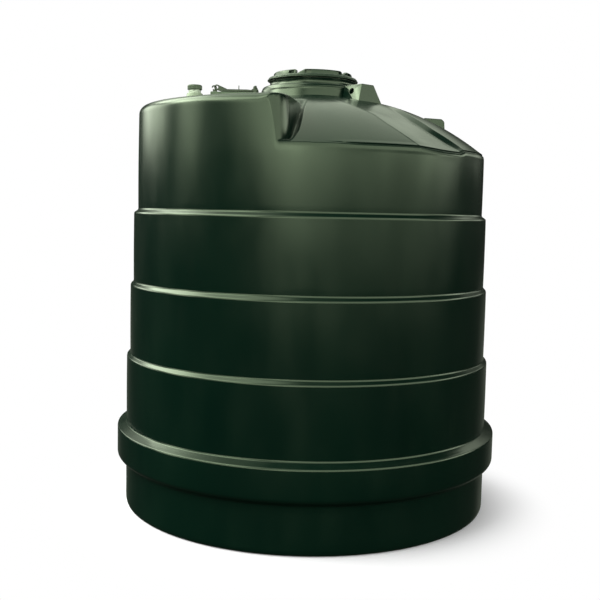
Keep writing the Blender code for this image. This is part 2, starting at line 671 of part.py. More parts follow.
def build_fixed_eye():
    x, z = FIXED_EYE
    middle = sum(HATCH_Y) / 2
    plate_y = (middle + EYE_SPACE / 2, middle + EYE_SPACE / 2 + EYE_PLATE)
    foot = HATCH_FRAME_TOP + GAP
    outline = [(HATCH_X[0] + 0.001, foot), (x + EYE_OUTER + 0.002, foot)]
    outline += round_outline((x, z), EYE_OUTER, 0.0, 180.0, 8)
    outline[-1] = (HATCH_X[0] + 0.001, z)
    eye = make_object("padlock_eye", prism_along_y(outline, plate_y), BLACK, 0.3)
    hole = round_outline((x, z), EYE_HOLE, 0.0, 330.0, 11)
    wide = (plate_y[0] - 0.01, plate_y[1] + 0.01)
    add_boolean(eye, make_cutter("cut_padlock_eye", prism_along_y(hole, wide)), "DIFFERENCE")


def main():
    clear_scene()
    build_wall()
    build_roof()
    build_manhole()
    build_lugs()
    build_filler()
    build_hatch()


main()
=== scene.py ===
"""Looks of the vertical storage tank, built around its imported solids.

Metres, +Z up. The origin is the centre of the base, on the ground, and -Y is the front.
An azimuth is counted in degrees from the front and grows towards +X.
"""

import logging
import math
from collections.abc import Callable, Sequence
from dataclasses import dataclass
from enum import Enum

import bmesh
import bpy
import numpy as np
from mathutils import Matrix, Vector


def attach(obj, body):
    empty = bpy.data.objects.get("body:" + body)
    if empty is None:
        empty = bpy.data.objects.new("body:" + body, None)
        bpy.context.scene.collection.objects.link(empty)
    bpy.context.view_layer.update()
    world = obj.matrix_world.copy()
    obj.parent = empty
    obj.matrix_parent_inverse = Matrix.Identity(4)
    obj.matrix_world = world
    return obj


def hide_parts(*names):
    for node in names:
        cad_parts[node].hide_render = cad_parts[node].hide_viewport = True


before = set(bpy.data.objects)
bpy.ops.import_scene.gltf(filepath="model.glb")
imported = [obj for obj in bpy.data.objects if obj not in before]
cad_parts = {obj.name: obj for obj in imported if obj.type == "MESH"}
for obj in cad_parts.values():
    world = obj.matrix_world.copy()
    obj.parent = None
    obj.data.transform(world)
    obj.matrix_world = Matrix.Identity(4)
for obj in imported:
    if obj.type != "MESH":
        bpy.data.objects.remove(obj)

LOG = logging.getLogger("storage_tank")
SEAT = 0.0003  # left between a piece and the one it stands on
PAST = 0.01  # how far a cutter reaches past what it cuts
SHARP = 40.0  # degrees above which an edge stays sharp
WIDE = 50.0  # the same on pieces with wide roundings
MIDDLE = (0.3, 0.7)  # where most values of a noise lie
SKIN_NODES = ("base_", "wall_ring", "dome_", "valley_", "platform_")  # first words of the shell's solids
WHITE = (1.0, 1.0, 1.0, 1.0)
DUST = (0.62, 0.66, 0.56, 1.0)

Pair = tuple[float, float]
Span = tuple[float, float, float, float]
Colour = tuple[float, float, float, float]
Point = tuple[float, float, float]
Profile = list[Pair]
Stops = Sequence[Pair]
Line = Callable[[np.ndarray], np.ndarray]
Object = bpy.types.Object
Material = bpy.types.Material
Socket = bpy.types.NodeSocket
Sockets = bpy.types.bpy_prop_collection


class Slot(Enum):
    """Material slots of the record."""

    SHELL = "shell"
    LID = "lid"
    HATCH = "hatch"


class Body(Enum):
    """Bodies of the record that a piece rides on."""

    TANK = "tank"
    MANHOLE_LID = "manhole_lid"
    FILLER_CAP = "filler_cap"
    HATCH_LID = "hatch_lid"


def plan_point(azimuth: float, radius: float) -> Pair:
    """Point in plan, as x and y, at an azimuth and a distance from the axis."""
    angle = math.radians(azimuth)
    return radius * math.sin(angle), -radius * math.cos(angle)


def smooth_step(low: float, high: float, value: np.ndarray | float) -> np.ndarray:
    """Smooth rise from 0 at the low value to 1 at the high one."""
    t = np.clip((np.asarray(value, float) - low) / (high - low), 0.0, 1.0)
    return t * t * (3.0 - 2.0 * t)


def soft_min(first: np.ndarray, second: np.ndarray, blend: float) -> np.ndarray:
    """Lower of two values, rounded where they differ by less than the blend."""
    near = np.maximum(blend - np.abs(first - second), 0.0) / blend
    return np.minimum(first, second) - near * near * blend * 0.25


def read_stops(value: np.ndarray | float, stops: Stops) -> np.ndarray:
    """Straight-line reading of (value, result) stops in rising order."""
    return np.interp(value, [s[0] for s in stops], [s[1] for s in stops])


def even_stops(start: float, end: float, steps: int) -> list[float]:
    """Evenly spaced values, both ends included."""
    return [start + (end - start) * i / steps for i in range(steps + 1)]


class NodeGraph:
    """Short way to lay out shader nodes."""

    def __init__(self, tree: bpy.types.NodeTree) -> None:
        """Keep the tree that the nodes go into."""
        self.tree = tree

    def feed(self, node: bpy.types.Node, inputs: dict[str | int, object]) -> None:
        """Give a node's inputs their values.

        Args:
            node: The node.
            inputs: Value or feeding socket for each input's name or number.
        """
        for key, value in inputs.items():
            if isinstance(value, Socket):
                self.tree.links.new(value, node.inputs[key])
            else:
                node.inputs[key].default_value = value

    def add(self, kind: str, inputs: dict[str | int, object], **settings: str) -> Sockets:
        """Add a node.

        Args:
            kind: Its type, without the word ShaderNode in front.
            inputs: What feed takes.
            settings: Properties of the node, set before its inputs.

        Returns:
            Its outputs.
        """
        node = self.tree.nodes.new("ShaderNode" + kind)
        for key, value in settings.items():
            setattr(node, key, value)
        self.feed(node, inputs)
        return node.outputs

    def math(self, operation: str, *values: Socket | float) -> Socket:
        """One step of arithmetic; returns its socket."""
        return self.add("Math", dict(enumerate(values)), operation=operation)["Value"]

    def mix(self, share: Socket, first: Socket | Colour, second: Socket | Colour) -> Socket:
        """Mix of two colours; returns its socket."""
        return self.add("Mix", {"Factor": share, "A": first, "B": second}, data_type="RGBA")["Result"]

    def spread(self, source: Socket, start: float, end: float, low: float = 0.0, high: float = 1.0,
               smooth: bool = False) -> Socket:
        """Map one range onto another.

        Args:
            source: What is read.
            start: Its value where the result is low.
            end: Its value where the result is high.
            low: First result.
            high: Last result.
            smooth: Whether the change is rounded at its ends.

        Returns:
            The result's socket.
        """
        inputs = {"Value": source, "From Min": start, "From Max": end, "To Min": low, "To Max": high}
        return self.add("MapRange", inputs, interpolation_type="SMOOTHSTEP" if smooth else "LINEAR")["Result"]


def new_material(name: str) -> tuple[Material, NodeGraph, bpy.types.Node]:
    """Material with nodes.

    Args:
        name: Its name.

    Returns:
        The material, its graph and its main shader.
    """
    material = bpy.data.materials.new(name)
    material.use_nodes = True
    return material, NodeGraph(material.node_tree), material.node_tree.nodes["Principled BSDF"]


@dataclass(frozen=True)
class PlasticFinish:
    """Moulded plastic: a deep colour under a soft gloss with a fine skin."""

    name: str
    colour: Point
    paler: Point
    roughness: float = 0.21
    roughness_spread: float = 0.035
    specular_tint: Point = (0.87, 1.0, 0.78)
    patch_scale: float = 3.5
    shine_scale: float = 7.0
    skin_scale: float = 210.0
    skin_depth: float = 0.000012
    wave_scale: float = 4.0
    wave_depth: float = 0.0010
    dust: float = 0.006
    dust_scale: float = 14.0
    dust_slope: Pair = (0.5, 1.0)
    least_dust: float = 0.35

    def build(self) -> Material:
        """Make the material's nodes.

        Returns:
            The material.
        """
        material, graph, shader = new_material(self.name)
        place = graph.add("TexCoord", {})["Object"]

        def noise(scale: float, detail: float, along_height: float = 1.0) -> Socket:
            """Noise at the piece's own place, scaled apart along the height; returns its socket."""
            mapped = graph.add("Mapping", {"Vector": place, "Scale": (1.0, 1.0, along_height)})["Vector"]
            return graph.add("TexNoise", {"Vector": mapped, "Scale": scale, "Detail": detail})["Fac"]

        patches = graph.spread(noise(self.patch_scale, 4.0, 0.45), *MIDDLE)
        colour = graph.mix(patches, (*self.colour, 1.0), (*self.paler, 1.0))
        normal = graph.add("NewGeometry", {})["Normal"]
        upward = graph.add("SeparateXYZ", {"Vector": normal})["Z"]
        settled = graph.spread(upward, *self.dust_slope, 0.0, self.dust)
        speckle = graph.spread(noise(self.dust_scale, 5.0), *MIDDLE, self.least_dust, 1.0)
        dusty = graph.math("MULTIPLY", settled, speckle)
        shine = noise(self.shine_scale, 3.0, 0.4)
        rough, change = self.roughness, self.roughness_spread
        wave = graph.add("Bump", {"Distance": self.wave_depth, "Height": noise(self.wave_scale, 2.0, 0.5)})
        skin = graph.add("Bump", {"Distance": self.skin_depth, "Height": noise(self.skin_scale, 3.0),
                                  "Normal": wave["Normal"]})
        graph.feed(shader, {
            "Specular Tint": (*self.specular_tint, 1.0), "IOR": 1.5,
            "Base Color": graph.mix(dusty, colour, DUST),
            "Roughness": graph.spread(shine, *MIDDLE, rough - change, rough + change),
            "Normal": skin["Normal"]})
        return material


GREEN_SHELL = PlasticFinish("green_shell", (0.0004, 0.0060, 0.0042), (0.0009, 0.0078, 0.0052))
# Painted sheen: the filler boss is the shell's green plastic, and this pale colour stands in for its bright
# grazing reflection.
PAINTED_SHEEN_MOULDING = PlasticFinish("moulding_with_painted_sheen", (0.22, 0.25, 0.20), (0.26, 0.29, 0.24), roughness=0.42,
                              wave_depth=0.0002, dust=0.10)
# Painted highlight: the hatch plinth is the shell's green plastic, and this paler green stands in for the
# grazing highlight on it.
PAINTED_HIGHLIGHT_PLINTH = PlasticFinish("plinth_with_painted_highlight", (0.050, 0.070, 0.050), (0.065, 0.088, 0.064), roughness=0.36,
                             wave_depth=0.0002, dust=0.03)
# Painted sheen: the spigot is green plastic, and this near-white colour stands in for its overexposed grazing
# reflection.
PAINTED_SHEEN_SPIGOT = PlasticFinish("spigot_with_painted_sheen", (0.50, 0.53, 0.48), (0.56, 0.59, 0.54), roughness=0.40,
                            wave_depth=0.0002, dust=0.05)
GREY_CAP = PlasticFinish("grey_cap", (0.024, 0.036, 0.024), (0.034, 0.047, 0.033), roughness=0.34,
                         wave_depth=0.0001, dust=0.05)
DARK_LID = PlasticFinish("dark_lid", (0.0012, 0.0085, 0.0056), (0.0022, 0.0120, 0.0078), roughness=0.30,
                         wave_depth=0.0001, dust=0.02)
BLACK_HATCH = PlasticFinish("black_hatch", (0.0012, 0.0040, 0.0030), (0.0024, 0.0060, 0.0046), roughness=0.30,
                            wave_depth=0.0001, dust=0.02)


def dress_piece(piece: Object, material: Material, body: Body, slot: Slot, *nodes: str) -> None:
    """Dress an object and tie it to its body.

    Args:
        piece: The object, already in place.
        material: Its finish.
        body: What it moves with.
        slot: The record's slot that it belongs to; not used.
        nodes: The solids that it stands for.
    """
    piece.data.materials.clear()
    piece.data.materials.append(material)
    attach(piece, body.value)
    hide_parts(*nodes)
    LOG.info("%s: %d faces, for %s", piece.name, len(piece.data.polygons), ", ".join(nodes))


class MeshDraft:
    """Vertices and faces of one piece, gathered from rows of points."""

    def __init__(self) -> None:
        """Start with nothing."""
        self.points: list[Point] = []
        self.faces: list[tuple[int, ...]] = []

    def add_points(self, points: Sequence[Point]) -> int:
        """Add points.

        Args:
            points: The points.

        Returns:
            The first one's index.
        """
        start = len(self.points)
        self.points.extend(tuple(float(v) for v in p) for p in points)
        return start

    def add_rows(self, rows: Sequence[Sequence[Point]], ring: bool = False) -> None:
        """Join rows of points, each closed on itself, into a skin of four-sided faces.

        Args:
            rows: Rows of the same length; a row of one point is a pole.
            ring: Whether the last row joins the first.
        """
        starts = [(self.add_points(row), len(row)) for row in rows]
        pairs = list(zip(starts, starts[1:]))
        if ring:
            pairs.append((starts[-1], starts[0]))
        for (a, count_a), (b, count_b) in pairs:
            count = max(count_a, count_b)
            for i in range(count):
                n = (i + 1) % count
                corners = [a + i % count_a, a + n % count_a, b + n % count_b, b + i % count_b]
                corners = list(dict.fromkeys(corners))
                if len(corners) > 2:
                    self.faces.append(tuple(corners))

    def finish(self, name: str, sharp: float = SHARP) -> Object:
        """Make the object.

        Args:
            name: Its name.
            sharp: Angle in degrees above which an edge stays sharp.

        Returns:
            The linked object.
        """
        mesh = bpy.data.meshes.new(name)
        mesh.from_pydata(self.points, [], self.faces)
        draft = bmesh.new()
        draft.from_mesh(mesh)
        bmesh.ops.recalc_face_normals(draft, faces=draft.faces)
        draft.to_mesh(mesh)
        draft.free()
        mesh.shade_smooth()
        mesh.set_sharp_from_angle(angle=math.radians(sharp))
        piece = bpy.data.objects.new(name, mesh)
        bpy.context.scene.collection.objects.link(piece)
        return piece


def turned(name: str, profile: Profile, steps: int, centre: Pair = (0.0, 0.0), sharp: float = SHARP,
           ripple: Callable[[float, float, float], float] | None = None) -> Object:
    """Turn a profile about an upright axis.

    Args:
        name: The object's name.
        profile: Corners as (radius, height); a radius of 0 is a pole.
        steps: Number of flats around.
        centre: The axis in plan.
        sharp: Angle in degrees above which an edge stays sharp.
        ripple: Change of radius for a radius, an azimuth and a height.

    Returns:
        The object.
    """
    rows = []
    for radius, height in profile:
        row = []
        for azimuth in even_stops(0.0, 360.0, steps)[:-1] if radius else (0.0,):
            change = ripple(radius, azimuth, height) if ripple and radius else 0.0
            x, y = plan_point(azimuth, radius + change)
            row.append((centre[0] + x, centre[1] + y, height))
        rows.append(row)
    draft = MeshDraft()
    draft.add_rows(rows, ring=profile[0][0] != 0.0)
    return draft.finish(name, sharp)


def rounded(profile: Profile, radii: Sequence[float], steps: int = 4) -> Profile:
    """Round the corners of a closed profile.

    Args:
        profile: Corners in order.
        radii: Rounding of each corner; 0 leaves it sharp.
        steps: Number of flats on each rounding.

    Returns:
        The profile with its corners cut to arcs.
    """
    result: Profile = []
    for k, (corner, radius) in enumerate(zip(profile, radii)):
        if radius <= 0.0:
            result.append(corner)
            continue
        here = Vector(corner)
        before, after = Vector(profile[k - 1]) - here, Vector(profile[(k + 1) % len(profile)]) - here
        reach = min(radius, before.length * 0.49, after.length * 0.49)
        start, end = here + before.normalized() * reach, here + after.normalized() * reach
        for t in even_stops(0.0, 1.0, steps):
            point = start * (1 - t) ** 2 + here * 2 * t * (1 - t) + end * t * t
            result.append((point.x, point.y))
    return result


def settle_modifiers(piece: Object, *helpers: Object) -> Object:
    """Bake an object's modifiers into its mesh and drop its helpers.

    Args:
        piece: The object.
        helpers: Objects to remove afterwards.

    Returns:
        The object with its final mesh.
    """
    bpy.context.view_layer.update()
    graph = bpy.context.evaluated_depsgraph_get()
    mesh = bpy.data.meshes.new_from_object(piece.evaluated_get(graph))
    piece.modifiers.clear()
    piece.data = mesh
    mesh.set_sharp_from_angle(angle=math.radians(SHARP))
    for helper in helpers:
        bpy.data.objects.remove(helper, do_unlink=True)
    return piece


def softened(piece: Object, width: float, segments: int = 3, angle: float = 30.0) -> Object:
    """Round an object's edges.

    Args:
        piece: The object.
        width: Width of the rounding.
        segments: Number of flats on it.
        angle: Least angle in degrees of an edge that is rounded.

    Returns:
        The object with its final mesh.
    """
    modifier = piece.modifiers.new("soft_edges", "BEVEL")
    modifier.width = width
    modifier.segments = segments
    modifier.limit_method = "ANGLE"
    modifier.angle_limit = math.radians(angle)
    piece.data.shade_smooth()
    return settle_modifiers(piece)


def carved(piece: Object, cutters: Sequence[Object], added: Sequence[Object] = ()) -> Object:
    """Join some helpers to an object and cut others out of it.

    Args:
        piece: The object.
        cutters: Helpers that are cut out.
        added: Helpers that are joined to it first.

    Returns:
        The object with its final mesh.
    """
    for operation, helpers in (("UNION", added), ("DIFFERENCE", cutters)):
        for helper in helpers:
            modifier = piece.modifiers.new("cut", "BOOLEAN")
            modifier.operation = operation
            modifier.object = helper
            modifier.solver = "EXACT"
            helper.hide_render = True
    return settle_modifiers(piece, *added, *cutters)


def even_shading(piece: Object) -> Object:
    """Let the large faces set the shading, so that roundings don't smear across them.

    Args:
        piece: The object, with its modifiers settled.

    Returns:
        The same object.
    """
    modifier = piece.modifiers.new("even_shading", "WEIGHTED_NORMAL")
    modifier.keep_sharp = True
    modifier.weight = 90
    return settle_modifiers(piece)


def prism(name: str, outline: Sequence[Point], offset: Point) -> Object:
    """Solid between a flat outline and its copy at an offset.

    Args:
        name: Its name.
        outline: Corners in order.
        offset: From the first face to the second.

    Returns:
        The object.
    """
    draft = MeshDraft()
    near = draft.add_points(outline)
    far = draft.add_points([tuple(a + b for a, b in zip(p, offset)) for p in outline])
    count = len(outline)
    draft.faces += [tuple(range(near, near + count)), tuple(range(far, far + count))]
    for k in range(count):
        n = (k + 1) % count
        draft.faces.append((near + k, near + n, far + n, far + k))
    return draft.finish(name)


def box_prism(name: str, low: Point, high: Point) -> Object:
    """Upright box between two corners; returns the object."""
    (x0, y0, z0), (x1, y1, z1) = low, high
    return prism(name, [(x0, y0, z0), (x1, y0, z0), (x1, y1, z0), (x0, y1, z0)], (0.0, 0.0, z1 - z0))


def bar(name: str, start: Point, end: Point, radius: float, steps: int = 24) -> Object:
    """Round bar between two points.

    Args:
        name: Its name.
        start: Centre of one end.
        end: Centre of the other.
        radius: Its radius.
        steps: Number of flats around.

    Returns:
        The object.
    """
    first, last = Vector(start), Vector(end)
    along = (last - first).normalized()
    side = along.orthogonal().normalized()
    other = along.cross(side)
    loop = []
    for angle in even_stops(0.0, 2.0 * math.pi, steps)[:-1]:
        loop.append(tuple(first + (side * math.cos(angle) + other * math.sin(angle)) * radius))
    return prism(name, loop, tuple(last - first))


@dataclass(frozen=True)
class RoofShape:
    """Outer face of the roof: dome, channel, valleys, platform and rim.

    Stops give an azimuth at a radius. Those of the rim give a rise over the lip, and the overhang a change of
    radius.
    """

    peak: float = 2.2016
    fall: float = 0.363
    power: float = 2.4
    radius: float = 0.930
    platform: float = 2.120
    edge_round: float = 0.040
    end_round: float = 0.013
    round_change: Pair = (-0.13, -0.02)
    corner_across: float = 0.080
    corner_along: float = 0.115
    end_lean: float = 0.018
    foot_round: float = 0.011
    merge: float = 0.006
    wall_lean: float = 0.0030
    wall_lean_span: Pair = (0.885, 0.93)
    wall_lean_bend: float = 1.3
    wall_foot: float = 1.875
    wall_height: float = 0.205
    middle: float = -90.0
    valley_depth: float = 0.034
    valley_start: Pair = (0.46, 0.58)
    valley_end: float = 0.86
    valley_slope: Pair = (-0.002, 0.030)
    channel_depth: float = 0.020
    channel_slopes: Pair = (0.55, 0.125)
    channel_blends: Point = (0.30, 0.20, 0.05)
    channel_fade: Pair = (0.40, 0.62)
    channel_rim: float = 0.85
    channel_rim_loss: float = 0.4
    ridge_height: float = 0.0016
    ridge_width: float = 0.0040
    lip_height: float = 1.8925
    end_wall: Stops = ((0.50, -6.3), (0.80, -7.4), (0.93, -7.9))
    dome_edge: Stops = ((0.50, -2.6), (0.77, -3.3), (0.85, -3.8), (0.93, -5.6))
    channel_left: Stops = ((0.40, 9.0), (0.54, 19.0), (0.67, 25.9), (0.76, 27.6), (0.93, 33.4))
    channel_right: Stops = ((0.40, 66.0), (0.53, 57.0), (0.66, 50.5), (0.77, 50.0), (0.93, 54.4))
    crisp_start: float = 0.9140
    crisp_edge: Stops = (
        (0.9165, 0.0143), (0.9185, 0.0125), (0.9200, 0.0062), (0.9210, 0.0052), (0.9225, 0.0045),
        (0.9238, 0.0038), (0.9250, 0.0030), (0.9262, 0.0018), (0.9272, 0.0002), (0.9282, -0.0025),
        (0.9290, -0.0060), (0.9296, -0.0092), (0.9300, -0.0130))
    soft_rim: tuple[Pair, Pair] = ((-100.0, -80.0), (4.0, 16.0))
    soft_start: float = 0.9262
    soft_edge: Stops = (
        (0.9272, 0.0063), (0.9282, 0.0045), (0.9290, 0.0), (0.9296, -0.0050), (0.9300, -0.0110))
    overhang: Stops = ((0.905, 0.0), (0.914, 0.0016), (0.9165, 0.0024), (0.9185, 0.0024), (0.9200, -0.0010),
                       (0.9210, -0.0008), (0.9225, 0.0), (0.93, 0.0))
    overhang_fade: Pair = (1.915, 1.945)

    def dome(self, radius: np.ndarray) -> np.ndarray:
        """Height of the plain dome at a radius."""
        return self.peak - self.fall * radius ** self.power

    def channel(self, azimuth: np.ndarray, radius: np.ndarray) -> np.ndarray:
        """Depth of the shallow channel at the front right.

        Args:
            azimuth: Azimuths in degrees.
            radius: Radii.

        Returns:
            How far the roof lies under the plain dome.
        """
        left, right = read_stops(radius, self.channel_left), read_stops(radius, self.channel_right)
        share = (azimuth - left) / (right - left)
        floor = soft_min(share / self.channel_slopes[0], np.ones_like(share), self.channel_blends[0])
        depth = soft_min(floor, (1.0 - share) / self.channel_slopes[1], self.channel_blends[1])
        depth = -soft_min(-depth, np.zeros_like(share), self.channel_blends[2])
        depth = depth * (1.0 - self.channel_rim_loss * smooth_step(self.channel_rim, self.radius, radius))
        ridge = self.ridge_height * np.exp(-((azimuth - left) * np.radians(radius) / self.ridge_width) ** 2)
        return (self.channel_depth * np.maximum(depth, 0.0) - ridge) * smooth_step(*self.channel_fade, radius)

    def crispness(self, azimuth: np.ndarray) -> np.ndarray:
        """How clearly the rim's riser stands out: 0 beside the platform's front end, 1 elsewhere."""
        left, right = self.soft_rim
        return 1.0 - (1.0 - smooth_step(*right, azimuth)) * smooth_step(*left, azimuth)

    def edge_drop(self, radius: np.ndarray, start: float, edge: Stops) -> np.ndarray:
        """Drop under the dome's line for one form of the rim.

        Args:
            radius: Radii.
            start: Radius where the drop starts.
            edge: Rise over the lip further out.

        Returns:
            The drop.
        """
        drops = [(r, float(self.dome(r)) - self.lip_height - rise) for r, rise in edge]
        return read_stops(radius, [(start, 0.0)] + drops)

    def rim_step(self, azimuth: np.ndarray, radius: np.ndarray) -> np.ndarray:
        """Drop of the roof at the rim: a crisp riser over a rounded lip, or one soft edge.

        Args:
            azimuth: Azimuths in degrees.
            radius: Radii.

        Returns:
            How far the roof lies under the dome's line.
        """
        crisp = self.crispness(azimuth)
        drop = self.edge_drop(radius, self.crisp_start, self.crisp_edge) * crisp
        drop = drop + self.edge_drop(radius, self.soft_start, self.soft_edge) * (1.0 - crisp)
        return np.maximum(drop, 0.0)

    def settled_radius(self, radius: np.ndarray | float, height: np.ndarray,
                       azimuth: np.ndarray) -> np.ndarray:
        """Radius of the skin at the rim, where the platform's wall leans in and the dome's edge hangs over.

        Args:
            radius: Radius on the grid.
            height: Height of the skin there.
            azimuth: Azimuths in degrees.

        Returns:
            The radius in place.
        """
        risen = np.clip((height - self.wall_foot) / self.wall_height, 0.0, 1.0)
        lean = self.wall_lean * risen ** self.wall_lean_bend
        hang = read_stops(radius, self.overhang) * self.crispness(azimuth)
        hang = hang * (1.0 - smooth_step(*self.overhang_fade, height))
        return radius - lean * smooth_step(*self.wall_lean_span, radius) + hang

    def outline_distance(self, azimuth: np.ndarray, radius: np.ndarray, inset: float) -> np.ndarray:
        """Distance outside the platform's outline in plan; negative inside it.

        Args:
            azimuth: Azimuths, mirrored to the front half.
            radius: Radii.
            inset: How far the outline is drawn inwards.

        Returns:
            The distances.
        """
        across = (azimuth - read_stops(radius, self.end_wall)) * np.radians(radius) + inset
        outward = radius - self.radius + inset
        a, b = self.corner_across, self.corner_along
        u, v = np.maximum(across + a, 0.0), np.maximum(outward + b, 0.0)
        q = np.hypot(u / a, v / b)
        bent = (q - 1.0) * q / np.maximum(np.hypot(u / a ** 2, v / b ** 2), 1e-9)
        return np.where((u > 0.0) & (v > 0.0), bent, np.maximum(across, outward))

    def raised(self, mirrored: np.ndarray, radius: np.ndarray, ground: np.ndarray,
               inset: float) -> np.ndarray:
        """Platform with its rounded edge, its leaning wall and the fillet at its foot.

        Args:
            mirrored: Azimuths, mirrored to the front half.
            radius: Radii.
            ground: Height of the roof without it.
            inset: How far its outline is drawn inwards.

        Returns:
            The heights.
        """
        distance = self.outline_distance(mirrored, radius, inset)
        side = (mirrored - read_stops(radius, self.end_wall)) * np.radians(radius)
        outer = 1.0 - smooth_step(*self.round_change, side)
        round_size = self.end_round + (self.edge_round - self.end_round) * outer
        over = np.clip(distance + round_size, 0.0, round_size)
        top = self.platform - (round_size - np.sqrt(np.maximum(round_size ** 2 - over ** 2, 0.0)))
        foot = np.minimum(self.foot_round, 0.4 * np.maximum(self.platform - round_size - ground, 0.0))
        down = np.clip(distance / self.end_lean, 0.0, 1.0)
        wall = (self.platform - round_size) + (ground + foot - self.platform + round_size) * down
        past = np.clip(distance - self.end_lean, 0.0, foot)
        fillet = ground + foot - np.sqrt(np.maximum(foot ** 2 - (foot - past) ** 2, 0.0))
        outside = np.where(down < 1.0, wall, fillet)
        return np.where(distance >= self.end_lean + foot, ground, np.where(distance <= 0.0, top, outside))

    def height(self, azimuth: np.ndarray, radius: np.ndarray, inset: float = 0.0) -> np.ndarray:
        """Height of the roof.

        Args:
            azimuth: Azimuths in degrees.
            radius: Radii, one for each of the last axis of the azimuths.
            inset: Thickness drawn off, for the inner face.

        Returns:
            The heights.
        """
        azimuth, radius = np.broadcast_arrays(azimuth, radius)
        mirrored = self.middle + np.abs(azimuth - self.middle)
        ground = self.dome(radius) - self.channel(azimuth, radius)
        if inset == 0.0:
            ground = ground - self.rim_step(azimuth, radius)
        to_edge = (read_stops(radius, self.dome_edge) - mirrored) * np.radians(radius)
        opening = smooth_step(*self.valley_start, radius)
        closing = 1.0 - smooth_step(self.valley_end, self.radius, radius)
        ground = ground - self.valley_depth * (opening * closing) * smooth_step(*self.valley_slope, to_edge)
        raised = self.raised(mirrored, radius, ground, inset)
        shows = (mirrored < 0.0) & (raised > ground - self.merge)
        return np.where(shows, -soft_min(-ground, -raised, self.merge), ground) - inset


@dataclass(frozen=True)
class Column:
    """One line of the skin's grid, between two lines of the roof that it follows."""

    start: Line
    end: Line
    share: float

    def azimuth(self, radius: np.ndarray) -> np.ndarray:
        """Azimuth of the line at each radius."""
        return self.start(radius) * (1.0 - self.share) + self.end(radius) * self.share


def steady(azimuth: float) -> Line:
    """Line that keeps one azimuth; returns its reader."""
    return lambda radius: np.full(np.shape(radius), float(azimuth))


def beside(stops: Stops, metres: float) -> Line:
    """Line at a fixed distance beside one that is given by stops; returns its reader."""
    return lambda radius: read_stops(radius, stops) + np.degrees(metres / np.maximum(radius, 0.2))


